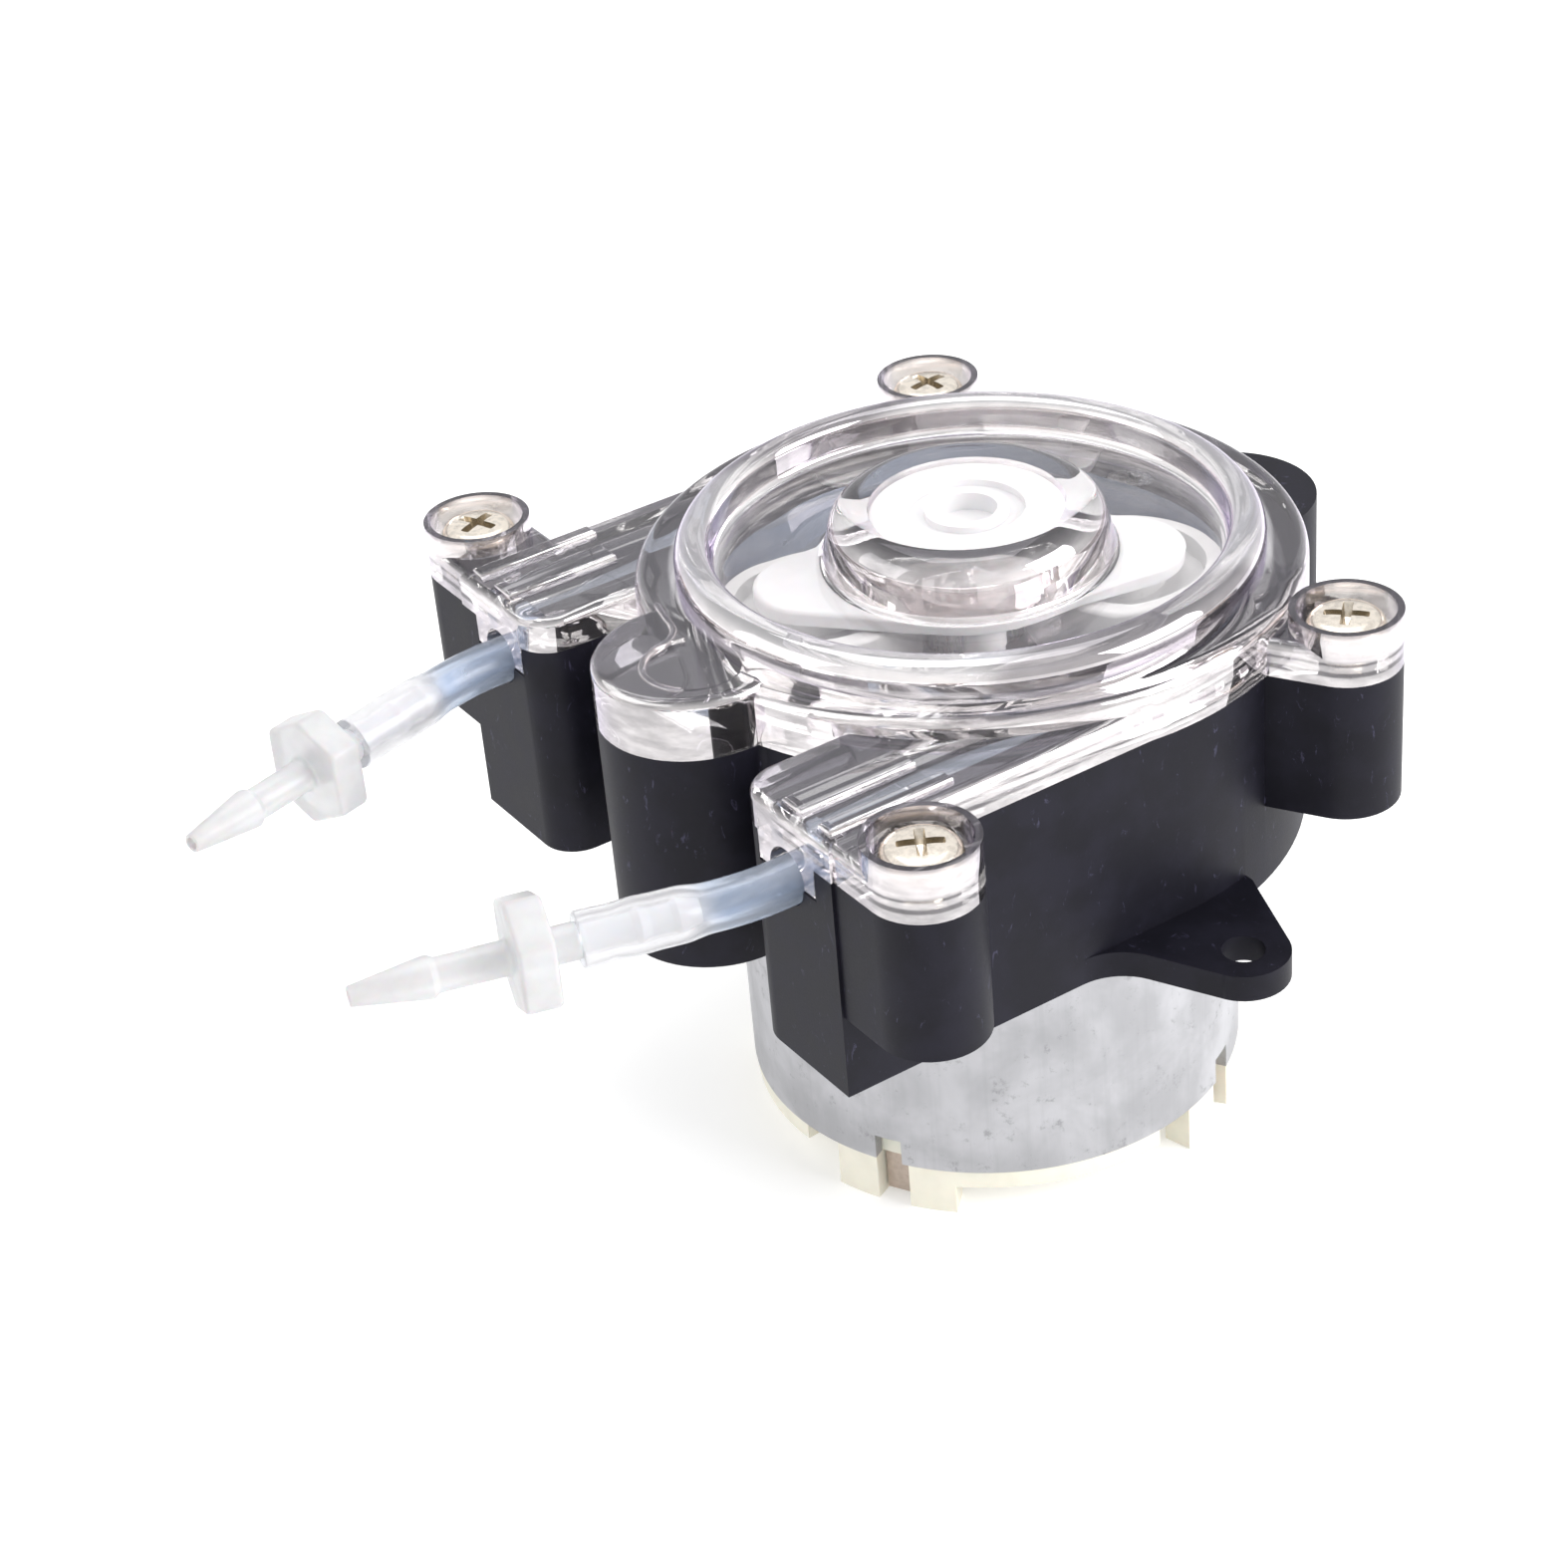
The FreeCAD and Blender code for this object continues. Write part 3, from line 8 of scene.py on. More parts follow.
import bmesh
import bpy
import numpy as np
from bpy.props import FloatProperty, FloatVectorProperty, PointerProperty
from mathutils import Matrix, Vector


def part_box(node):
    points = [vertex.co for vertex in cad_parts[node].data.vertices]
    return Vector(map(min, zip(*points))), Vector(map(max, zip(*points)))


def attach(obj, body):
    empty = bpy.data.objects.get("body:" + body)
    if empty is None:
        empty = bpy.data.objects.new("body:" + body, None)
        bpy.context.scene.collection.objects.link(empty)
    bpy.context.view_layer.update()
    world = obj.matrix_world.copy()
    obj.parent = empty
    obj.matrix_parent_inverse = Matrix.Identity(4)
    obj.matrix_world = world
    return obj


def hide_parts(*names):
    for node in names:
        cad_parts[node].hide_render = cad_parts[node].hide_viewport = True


bl_info = {
    "name": "Dosing pump",
    "version": (1, 0, 0),
    "blender": (4, 5, 0),
    "location": "View3D > Sidebar > Pump",
    "description": "Builds the looks of a peristaltic dosing pump round its packed parts",
    "category": "Object",
}

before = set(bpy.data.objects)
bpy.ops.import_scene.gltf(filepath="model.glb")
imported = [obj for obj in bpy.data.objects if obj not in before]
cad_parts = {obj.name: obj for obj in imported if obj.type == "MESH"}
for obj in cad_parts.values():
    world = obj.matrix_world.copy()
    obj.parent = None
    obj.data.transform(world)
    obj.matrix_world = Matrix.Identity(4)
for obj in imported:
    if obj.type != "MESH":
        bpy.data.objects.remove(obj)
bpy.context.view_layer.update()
TAU = 2 * math.pi
MM = 0.001


def corner(node, which):
    """The lowest (0) or highest (1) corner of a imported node."""
    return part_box(node)[which]


# Sizes and colours


def length(label, text, millimetres):
    """A length setting with its default in millimetres."""
    return FloatProperty(name=label, description=text, default=millimetres * MM, unit="LENGTH")


def angle(label, text, degrees):
    """An angle setting with its default in degrees."""
    return FloatProperty(name=label, description=text, default=math.radians(degrees), subtype="ANGLE")


def colour(label, text, value):
    """A colour setting with its default."""
    return FloatVectorProperty(name=label, description=text, default=value, size=3, subtype="COLOR",
                               min=0.0, max=1.0)


class PumpSizes(bpy.types.PropertyGroup):
    """Sizes that a user would change, in metres."""
    tube_outer: length("Tube radius", "Outer radius of the round tube", 2.0)
    tube_bore: length("Tube bore", "Bore radius of the round tube", 1.0)
    tube_x: length("Tube spacing", "Distance of each tube from the middle plane", 22.2)
    tube_z: length("Tube height", "Height of the tube's centre line", 17.4)
    pressed_x: length("Pressed radius", "Centre radius of the pressed tube", 23.35)
    pressed_half: length("Pressed half thickness", "Half the pressed tube's thickness", 0.8)
    pressed_tall: length("Pressed half height", "Half the pressed tube's height", 2.7)
    slit_half: length("Pressed bore, half thickness", "Half the thickness of the pressed tube's bore", 0.06)
    slit_tall: length("Pressed bore, half height", "Half the height of the pressed tube's bore", 1.7)
    pressed_end: length("Pressed end", "Where the tube starts to open, along Y", -10.0)
    round_start: length("Round start", "Where the tube is fully round, along Y", -16.0)
    bend_radius: length("Tube bend", "Radius of the bend outside the housing", 21.5)
    bend_start: length("Bend start", "Where the bend starts, along Y", -34.75)
    bend_turn: angle("Bend turn", "How far each tube turns inwards", 16.0)
    last_run: length("Last run", "Straight tube from the bend to its end", 10.7)
    swell: length("Swell", "Extra radius of the tube over the barb", 0.25)
    screw_head: length("Screw head", "Radius of a cover screw's head", 3.3)
    head_height: length("Head height", "Height of a cover screw's head", 2.3)
    cross_reach: length("Cross", "Reach of each arm of the cross recess", 1.9)
    cross_half: length("Cross, half width", "Half the width of an arm of the cross recess", 0.42)
    cross_depth: length("Cross, depth", "Depth of the cross recess", 1.6)
    back_screw_x: length("Back screws", "Distance of the two back screws from the middle plane", 28.91)
    screw_core: length("Screw shank", "Outer radius of a cover screw's thread", 1.5)
    thread_pitch: length("Thread pitch", "Pitch of the cover screws", 0.5)
    ring_inner: length("Ring, inside", "Inner radius of the cover's raised ring", 22.0)
    ring_outer: length("Ring, outside", "Outer radius of the cover's raised ring", 25.1)
    flange: length("Flange", "Radius of the round flange under the cover's ring", 30.6)
    cups_from: length("Screw cups", "Where the screw cups start, from the middle plane", 20.0)
    lids_from: length("Tube lids", "Where the lids over the tube start, from the middle plane", 16.5)
    lid_height: length("Lid height", "Height of the lid's bead above the joint", 5.32)
    hollow: length("Lid hollow", "Radius of the hollow in the front bulge's lid", 4.2)
    hollow_x: length("Hollow, X", "Hollow's centre across the pump", 1.9)
    hollow_y: length("Hollow, Y", "Hollow's centre along the pump", -29.0)
    hollow_edge: length("Hollow's edge", "Radius at which the hollow meets the flange", 27.4)
    bead: length("Bead", "Radius of the bead along the hollow's edge", 0.34)
    air: length("Air gap", "Gap between the housing and the clear cover", 0.04)
    hex_tall: length("Flange height", "Connector's six-sided flange across its corners", 9.8)
    hex_wide: length("Flange width", "Connector's six-sided flange across its upright sides", 8.0)


class PumpColours(bpy.types.PropertyGroup):
    """Colours that a user would change."""
    housing: colour("Housing", "Black moulded housing", (0.0078, 0.0074, 0.0130))
    cover: colour("Cover", "Clear moulded cover", (0.975, 0.966, 0.972))
    # Colour of the painted reflection on the cover's upright walls, standing for light led out through the
    # plastic.
    rims: colour("Cover's walls", "Light that the cover's upright walls throw back", (0.97, 0.935, 0.93))
    # Painted shade: the dark line shown at the rims of the screw cups.
    cup_rim_shade: colour("Cup rims", "Dark line that the rims of the screw cups show", (0.16, 0.14, 0.16))
    nickel: colour("Screws", "Nickel-plated screws", (0.86, 0.79, 0.70))
    silicone: colour("Tube", "Milky silicone", (0.925, 0.92, 0.935))
    fitting: colour("Connectors", "Translucent white moulding", (0.80, 0.80, 0.81))
    rotor: colour("Rotor", "White acetal", (0.83, 0.83, 0.84))
    roller: colour("Rollers", "Smooth white acetal of the rollers", (0.76, 0.76, 0.755))
    zinc: colour("Can", "Zinc-plated steel", (0.50, 0.50, 0.52))
    ivory: colour("End cap", "Ivory moulding", (0.80, 0.77, 0.66))
    copper: colour("Copper", "Bare copper alloy", (0.80, 0.42, 0.22))
    tinned: colour("Terminals", "Tinned copper tabs", (0.50, 0.42, 0.36))
    floor: colour("Floor", "Pale studio floor", (0.84, 0.84, 0.84))


class PumpStudio(bpy.types.PropertyGroup):
    """The camera and the light."""
    azimuth: angle("Azimuth", "Camera's turn about the pump's axis", 58.924)
    elevation: angle("Elevation", "Camera's angle above the horizon", 32.392)
    roll: angle("Roll", "Camera's roll about its line of sight", -5.289)
    distance: length("Distance", "From the aim point to the camera", 291.689)
    aim_across: length("Aim across", "Aim point's offset to the camera's right", -16.058)
    aim_up: length("Aim up", "Aim point's offset to the camera's top", -16.219)
    aim_height: length("Aim height", "Height of the joint between housing and cover", 20.3)
    lens: FloatProperty(name="Lens", description="Focal length for a 36 mm wide film", default=78.17,
                        unit="CAMERA")
    sky: FloatProperty(name="Sky", description="Strength of the light from all round", default=1.0)
    key: FloatProperty(name="Key light", description="Power of the top softbox, in watts", default=1.2)


# Mesh making


def mesh_object(name, points, quads, sharp=40.0):
    """An object with its place in its mesh, from points and four-cornered faces held as whole arrays.

    Doubles are merged, which closes seams and poles, and edges steeper than sharp degrees stay crisp.
    """
    points = np.asarray(points, np.float32).reshape(-1, 3)
    quads = np.asarray(quads, np.int32).reshape(-1, 4)
    mesh = bpy.data.meshes.new(name)
    mesh.vertices.add(len(points))
    mesh.vertices.foreach_set("co", points.ravel())
    mesh.loops.add(quads.size)
    mesh.loops.foreach_set("vertex_index", quads.ravel())
    mesh.polygons.add(len(quads))
    mesh.polygons.foreach_set("loop_start", np.arange(0, quads.size, 4, dtype=np.int32))
    mesh.update(calc_edges=True)
    bm = bmesh.new()
    bm.from_mesh(mesh)
    bmesh.ops.remove_doubles(bm, verts=bm.verts, dist=2e-7)
    bmesh.ops.dissolve_degenerate(bm, edges=bm.edges, dist=1e-8)
    bmesh.ops.recalc_face_normals(bm, faces=bm.faces)
    bm.to_mesh(mesh)
    bm.free()
    finish_shading(mesh, sharp)
    made = bpy.data.objects.new(name, mesh)
    bpy.context.scene.collection.objects.link(made)
    return made


def finish_shading(mesh, sharp):
    """Smooth faces, with a crisp edge wherever two faces meet at more than sharp degrees."""
    mesh.polygons.foreach_set("use_smooth", np.ones(len(mesh.polygons), bool))
    mesh.set_sharp_from_angle(angle=math.radians(sharp))


def surface(name, points, closed=False, sharp=40.0):
    """A surface over a grid of points, rows by columns by three.

    Each row runs round to its own start, and the last row meets the first where closed is true.
    """
    index = np.arange(points.shape[0] * points.shape[1]).reshape(points.shape[:2])
    index = np.hstack([index, index[:, :1]])
    if closed:
        index = np.vstack([index, index[:1]])
    quads = np.stack([index[:-1, :-1], index[:-1, 1:], index[1:, 1:], index[1:, :-1]], -1)
    return mesh_object(name, points, quads, sharp)


def rounded(corners, radii, steps):
    """A line through corners, each cut by an arc of its own radius that touches both sides.

    At a corner with the half angle h between its sides, the arc of radius r starts r / tan(h)
    before the corner, and its points turn evenly from one side's normal to the other's.
    """
    corners = np.asarray(corners, float)
    line = [corners[:1]]
    for i in range(1, len(corners) - 1):
        here, back, ahead = corners[i], corners[i - 1] - corners[i], corners[i + 1] - corners[i]
        back_length, ahead_length = np.linalg.norm(back), np.linalg.norm(ahead)
        back, ahead = back / back_length, ahead / ahead_length
        half = math.acos(np.clip(back @ ahead, -1, 1)) / 2
        reach = radii[i] / math.tan(half) if half > 1e-3 else 0.0
        if reach <= 0 or half > math.pi / 2 - 1e-3:
            line.append(here[None])
            continue
        reach = min(reach, 0.49 * back_length, 0.49 * ahead_length)
        radius = reach * math.tan(half)
        bisector = (back + ahead) / np.linalg.norm(back + ahead)
        centre = here + bisector * radius / math.sin(half)
        start, end = here + back * reach - centre, here + ahead * reach - centre
        a0 = math.atan2(start[1], start[0])
        turn = (math.atan2(end[1], end[0]) - a0 + math.pi) % TAU - math.pi
        a = a0 + turn * np.linspace(0, 1, steps + 1)
        line.append(centre + radius * np.stack([np.cos(a), np.sin(a)], -1))
    line.append(corners[-1:])
    return np.vstack(line)


def lathe(name, profile, place=(0, 0, 0), turn=None, around=96, outline=None, sharp=40.0, closed=False):
    """A profile of (radius, height) carried round an axis.

    Point (i, j) is place + turn * (r_i f_ij cos a_j, r_i f_ij sin a_j, z_i), where outline, when given,
    is the array f of a factor for each row and angle.
    """
    profile = np.asarray(profile, float)
    a = np.linspace(0, TAU, around, endpoint=False)
    r = profile[:, :1] * np.ones_like(a)[None]
    if outline is not None:
        r = r * outline
    points = np.stack([r * np.cos(a), r * np.sin(a), profile[:, 1:2] * np.ones_like(a)[None]], -1)
    if turn is not None:
        points = points @ np.asarray(turn, float).T
    return surface(name, points + np.asarray(place, float), closed, sharp)


def along(direction):
    """The turn that takes +Z to a direction and keeps the piece's own x upright."""
    z = np.asarray(direction, float) / np.linalg.norm(direction)
    x = np.array([0.0, 0.0, 1.0])
    x = x - z * (x @ z)
    x /= np.linalg.norm(x)
    return np.stack([x, np.cross(z, x), z], -1)


def joined(name, pieces):
    """One object from several, which are used up."""
    first = pieces[0]
    with bpy.context.temp_override(active_object=first, selected_editable_objects=pieces,
                                   selected_objects=pieces, object=first):
        bpy.ops.object.join()
    first.name = name
    first.data.name = name
    return first


def applied(piece):
    """The piece with its modifiers worked into its mesh."""
    bpy.context.view_layer.update()
    graph = bpy.context.evaluated_depsgraph_get()
    mesh = bpy.data.meshes.new_from_object(piece.evaluated_get(graph))
    piece.modifiers.clear()
    piece.data = mesh
    return piece


def carved(piece, cutter):
    """Takes the cutter away from the piece and deletes the cutter."""
    modifier = piece.modifiers.new("cut", "BOOLEAN")
    modifier.operation = "DIFFERENCE"
    modifier.solver = "EXACT"
    modifier.object = cutter
    applied(piece)
    bpy.data.objects.remove(cutter)


def softened(name, node, width, steps=2, sharp=28.0):
    """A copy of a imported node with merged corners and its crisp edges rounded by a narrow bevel.

    Coplanar triangles are joined first, so that the bevel meets whole faces, and the normals are
    weighted by face size, which keeps flat faces flat.
    """
    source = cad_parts[node]
    mesh = source.data.copy()
    mesh.name = name
    bm = bmesh.new()
    bm.from_mesh(mesh)
    bmesh.ops.remove_doubles(bm, verts=bm.verts, dist=2e-6)
    bmesh.ops.dissolve_limit(bm, angle_limit=math.radians(0.4), verts=bm.verts, edges=bm.edges,
                             use_dissolve_boundaries=False)
    bm.to_mesh(mesh)
    bm.free()
    mesh.materials.clear()
    piece = bpy.data.objects.new(name, mesh)
    bpy.context.scene.collection.objects.link(piece)
    bevel = piece.modifiers.new("edges", "BEVEL")
    bevel.width = width
    bevel.segments = steps
    bevel.limit_method = "ANGLE"
    bevel.angle_limit = math.radians(sharp)
    bevel.use_clamp_overlap = True
    bevel.miter_outer = "MITER_ARC"
    applied(piece)
    finish_shading(piece.data, sharp + 12)
    weights = piece.modifiers.new("weights", "WEIGHTED_NORMAL")
    weights.keep_sharp = True
    return piece


def fetched(items, key, width, kind=np.float32):
    """One attribute of a mesh's items, as an array with a row for each item."""
    values = np.empty(len(items) * width, kind)
    items.foreach_get(key, values)
    return values.reshape(-1, width)


def turned(piece, reach):
    """Lays the normals of faces turned about the pump's axis, out to a reach, in the plane through the axis.

    With e the outward direction at a corner, the slope is the angle of (n . e, n_z). Corners at one radius
    and height share their mean slope, where there are many and no edge parts them, so highlights run
    evenly round.
    """
    mesh = applied(piece).data
    corners = fetched(mesh.loops, "vertex_index", 1, np.int32).ravel()
    points = fetched(mesh.vertices, "co", 3)[corners].astype(float)
    normals = fetched(mesh.corner_normals, "vector", 3).astype(float)
    radius = np.hypot(points[:, 0], points[:, 1])
    outward = points[:, :2] / np.maximum(radius, 1e-9)[:, None]
    towards = np.sum(normals[:, :2] * outward, axis=1)
    across = normals[:, 1] * outward[:, 0] - normals[:, 0] * outward[:, 1]
    chosen = np.flatnonzero((np.abs(across) < 0.2) & (radius < reach) & (radius > 1e-4))
    spots = np.round(np.stack([radius[chosen], points[chosen, 2]], -1) / 2e-5).astype(np.int64)
    group = np.unique(spots, axis=0, return_inverse=True)[1].ravel()
    count = np.bincount(group)
    along_e = np.bincount(group, towards[chosen]) / count
    along_z = np.bincount(group, normals[chosen, 2]) / count
    size = np.maximum(np.hypot(along_e, along_z), 1e-9)[group]
    mean_e, mean_z = along_e[group] / size, along_z[group] / size
    near = (mean_e * towards[chosen] + mean_z * normals[chosen, 2] > 0.93) & (count[group] > 90)
    kept = chosen[near]
    normals[kept, :2] = mean_e[near, None] * outward[kept]
    normals[kept, 2] = mean_z[near]
    mesh.normals_split_custom_set(normals)


def lifted(piece, height, gap):
    """Raises the points of a piece that lie at a height by a hair's breadth of air."""
    points = fetched(piece.data.vertices, "co", 3)
    points[np.abs(points[:, 2] - height) < 1e-6, 2] += gap
    piece.data.vertices.foreach_set("co", points.ravel())
    piece.data.update()


# Shader maths


def maths(operation, swapped=False):
    """A method that adds the Math node of one of Python's operators."""
    def method(self, other):
        pair = (other, self) if swapped else (self, other)
        return self.shader.node("ShaderNodeMath", {"operation": operation}, *pair)
    return method


class Wire:
    """A number on a shader socket. Python's operators on it add the Math nodes that work them out."""

    def __init__(self, shader, socket):
        self.shader = shader
        self.socket = socket

    __add__, __radd__ = maths("ADD"), maths("ADD", True)
    __sub__, __rsub__ = maths("SUBTRACT"), maths("SUBTRACT", True)
    __mul__, __rmul__ = maths("MULTIPLY"), maths("MULTIPLY", True)
    __pow__ = maths("POWER")

    def ramp(self, low, high):
        """0 below low, 1 above high and smooth between them."""
        return self.shader.node("ShaderNodeMapRange", {"interpolation_type": "SMOOTHSTEP"},
                                self, low, high, 0.0, 1.0)

    def band(self, low, high, edge):
        """1 between low and high and 0 outside, with smooth edges of a given width."""
        return self.ramp(low, low + edge) - self.ramp(high, high + edge)


class Shader:
    """A material made of one Principled BSDF, fed by procedural patterns on Object coordinates."""

    def __init__(self, name, **constants):
        self.material = bpy.data.materials.new(name)
        self.material.use_nodes = True
        self.tree = self.material.node_tree
        self.tree.nodes.clear()
        self.bsdf = self.tree.nodes.new("ShaderNodeBsdfPrincipled")
        self.output = self.tree.nodes.new("ShaderNodeOutputMaterial")
        self.tree.links.new(self.bsdf.outputs[0], self.output.inputs["Surface"])
        for socket, value in constants.items():
            self.set(socket.replace("_", " "), value)
        self.place = self.node("ShaderNodeTexCoord", {}, out="Object")

    def set(self, socket, value):
        """Sets or links one socket of the Principled BSDF."""
        self._feed(self.bsdf.inputs[socket], value)

    def _feed(self, socket, value):
        if isinstance(value, Wire):
            self.tree.links.new(value.socket, socket)
        elif hasattr(value, "__len__") and len(socket.default_value) > len(value):
            socket.default_value = (*value, 1.0)
        else:
            socket.default_value = value

    def node(self, kind, settings, *values, out=0, **named):
        """Adds a node: its settings first, then its sockets in order and by name. Returns one output."""
        made = self.tree.nodes.new(kind)
        for key, value in settings.items():
            setattr(made, key, value)
        sockets = [s for s in made.inputs if s.enabled]
        for socket, value in zip(sockets, values):
            self._feed(socket, value)
        for key, value in named.items():
            self._feed(made.inputs[key.replace("_", " ")], value)
        return Wire(self, made.outputs[out])

    def split(self, vector):
        """A vector's three numbers."""
        made = self.tree.nodes.new("ShaderNodeSeparateXYZ")
        self._feed(made.inputs[0], vector)
        return [Wire(self, made.outputs[k]) for k in range(3)]

    def steepness(self):
        """0 where a face lies level and 1 where it stands upright."""
        normal = self.node("ShaderNodeTexCoord", {}, out="Normal")
        return 1.0 - self.node("ShaderNodeMath", {"operation": "ABSOLUTE"}, self.split(normal)[2])

    def noise(self, scale, detail=3.0, roughness=0.5, stretch=None, distortion=0.0):
        """Cloudy numbers about 0.5, scale features a metre, drawn out by stretch."""
        place = self.place
        if stretch is not None:
            place = self.node("ShaderNodeMapping", {}, place, Scale=stretch)
        return self.node("ShaderNodeTexNoise", {}, Vector=place, Scale=scale, Detail=detail,
                         Roughness=roughness, Distortion=distortion)

    def mix(self, factor, one, other):
        """A colour between two."""
        made = self.tree.nodes.new("ShaderNodeMix")
        made.data_type = "RGBA"
        ins = {s.identifier: s for s in made.inputs}
        self._feed(ins["Factor_Float"], factor)
        self._feed(ins["A_Color"], one)
        self._feed(ins["B_Color"], other)
        return Wire(self, next(s for s in made.outputs if s.identifier == "Result_Color"))

    def let_light_in(self, tint):
        """Lets light through to what lies behind, tinted, while the eye still sees the clear material."""
        clear = self.tree.nodes.new("ShaderNodeBsdfTransparent")
        clear.inputs["Color"].default_value = (*tint, 1.0)
        mixed = self.tree.nodes.new("ShaderNodeMixShader")
        self._feed(mixed.inputs[0], self.node("ShaderNodeLightPath", {}, out="Is Shadow Ray"))
        self.tree.links.new(self.bsdf.outputs[0], mixed.inputs[1])
        self.tree.links.new(clear.outputs[0], mixed.inputs[2])
        self.tree.links.new(mixed.outputs[0], self.output.inputs["Surface"])

    def bump(self, height, depth, strength=1.0):
        """Feeds the surface normal with a relief: height times depth, in metres."""
        self.set("Normal", self.node("ShaderNodeBump", {}, Strength=strength, Distance=depth, Height=height))


def colours():
    """The user's colours."""
    return bpy.context.scene.pump_colours


def sizes():
    """The user's sizes."""
    return bpy.context.scene.pump_sizes


def studio():
    """The user's camera and light."""
    return bpy.context.scene.pump_studio


def tinted(rgb, factor):
    """A colour made darker or lighter by a factor."""
    return tuple(min(1.0, c * factor) for c in rgb)


def black_moulding():
    """Fine spark-eroded grain on slightly bluish black plastic, a little worn where it is handled."""
    base = tuple(colours().housing)
    s = Shader("black moulding", Specular_IOR_Level=0.16)
    cloud = s.noise(260.0, 3.0)
    grain = s.noise(5200.0, 2.0, 0.6)
    scuff = s.noise(750.0, 5.0, 0.75, stretch=(1.0, 1.0, 0.4), distortion=1.5).ramp(0.61, 0.70)
    tone = s.mix(cloud.ramp(0.35, 0.7), tinted(base, 0.85), tinted(base, 1.35))
    s.set("Base Color", s.mix(scuff * 0.7, tone, tinted(base, 7.0)))
    s.set("Roughness", 0.40 + 0.12 * cloud + 0.08 * grain)
    s.bump(grain, 0.012 * MM, 0.5)
    return s.material


def clear_moulding():
    """Clear plastic with a faint tint. Its upright walls and raised ring are partly metallic: a painted
    reflection of the bright surroundings that stands for the light such walls lead out to the eye.

    The ring spans a band of radius. Screw cups lie beyond a distance from the middle plane, with a dark rim
    of painted shade and two bands near their floor where the painted reflection is weaker, so that dark
    streaks show. The lids over the tube carry thin painted highlights along Y.
    """
    size, joint = sizes(), studio().aim_height
    s = Shader("clear moulding", Transmission_Weight=0.985, IOR=1.49, Specular_Tint=(0.78, 0.72, 0.90, 1.0))
    x, y, z = s.split(s.place)
    upright = s.steepness().ramp(0.03, 0.62)
    radius = (x * x + y * y) ** 0.5
    ring = radius.ramp(size.ring_inner - 1.9 * MM, size.ring_inner + 0.5 * MM)
    ring = ring * (1.0 - radius.ramp(size.ring_outer + 0.25 * MM, size.ring_outer + 0.7 * MM))
    cups = (x * x).ramp(size.cups_from ** 2, (size.cups_from + 2.0 * MM) ** 2)
    lids = (x * x).ramp(size.lids_from ** 2, (size.lids_from + 1.5 * MM) ** 2)
    lids = lids * (y * -1.0).ramp(14.0 * MM, 18.0 * MM)
    lids = lids * (1.0 - upright)
    # Painted shade: a dark line round the top of each screw cup's rim.
    rims = cups * z.ramp(joint + 4.25 * MM, joint + 4.7 * MM)
    # Upright walls take the colour of their painted reflection.
    tone = s.mix(upright, tuple(colours().cover), tuple(colours().rims))
    s.set("Base Color", s.mix(rims * 0.6, tone, tuple(colours().cup_rim_shade)))
    # Two bands near the cups' floor where the painted reflection is weaker, so dark painted streaks show.
    dark = z.band(joint + 0.75 * MM, joint + 1.2 * MM, 0.25 * MM)
    dark = dark + z.band(joint + 1.75 * MM, joint + 2.0 * MM, 0.25 * MM)
    # Cloudy strength of the painted reflection on upright walls, which gives painted glints.
    painted_glint_cloud = s.noise(260.0, 3.0, 0.6, stretch=(1.0, 1.0, 3.0)).ramp(0.3, 0.75)
    # Thin painted highlights running along Y on the lids.
    painted_highlight_lines = s.noise(800.0, 2.0, 0.5, stretch=(1.0, 0.03, 1.0)).ramp(0.58, 0.66)
    # Metallic on upright walls, on the raised ring and in thin marks along Y on the lids paints a reflection
    # of the bright surroundings.
    s.set("Metallic", 0.01 + upright * (0.32 + 0.28 * painted_glint_cloud) * (1.0 - 0.75 * cups * dark)
          + ring * (0.38 + 0.10 * upright) + 0.38 * lids * painted_highlight_lines)
    s.set("Roughness", 0.012 + 0.03 * s.noise(900.0, 2.0).ramp(0.55, 0.8))
    s.bump(s.noise(120.0, 2.0, 0.4), 0.05 * MM, 0.25)
    s.let_light_in((0.93, 0.92, 0.925))
    return s.material


def nickel_plate():
    """Warm nickel plate, bright, with a cloudy tone, and painted shade that turns steep faces, such as the
    walls of the cross recess, dark brown.
    """
    base = tuple(colours().nickel)
    s = Shader("nickel plate", Metallic=1.0)
    cloud = s.noise(1500.0, 3.0)
    tone = s.mix(cloud.ramp(0.4, 0.7), base, tinted(base, 0.78))
    # Painted shade: steep faces, such as the walls of the cross recess, turn dark brown.
    s.set("Base Color", s.mix(s.steepness().ramp(0.35, 0.9) * 0.6, tone, (0.28, 0.24, 0.16)))
    s.set("Roughness", 0.16 + 0.18 * cloud)
    s.bump(s.noise(4000.0, 2.0), 0.01 * MM, 0.4)
    return s.material


def milky_silicone():
    """Translucent silicone: bluish and clear near the blocks, milky white where a barb stretches it."""
    base = tuple(colours().silicone)
    size = sizes()
    s = Shader("milky silicone", IOR=1.41, Transmission_Weight=0.78, Specular_IOR_Level=0.5)
    y = s.split(s.place)[1]
    cloud = s.noise(500.0, 3.0)
    streak = s.noise(700.0, 3.0, 0.6, stretch=(1.0, 0.12, 1.0))
    stretched = ((size.bend_start - 7.0 * MM) - y).ramp(-1.6 * MM, 1.2 * MM)
    bluish = s.mix(streak.ramp(0.35, 0.7), (0.55, 0.63, 0.76), (0.74, 0.80, 0.90))
    tone = s.mix(stretched, bluish, base)
    s.set("Base Color", s.mix(cloud.ramp(0.5, 0.75) * 0.25, tone, tinted(base, 0.93)))
    s.set("Roughness", 0.16 + 0.16 * cloud)
    s.bump(s.noise(2600.0, 2.0), 0.02 * MM, 0.3)
    s.let_light_in((0.72, 0.76, 0.8))
    return s.material


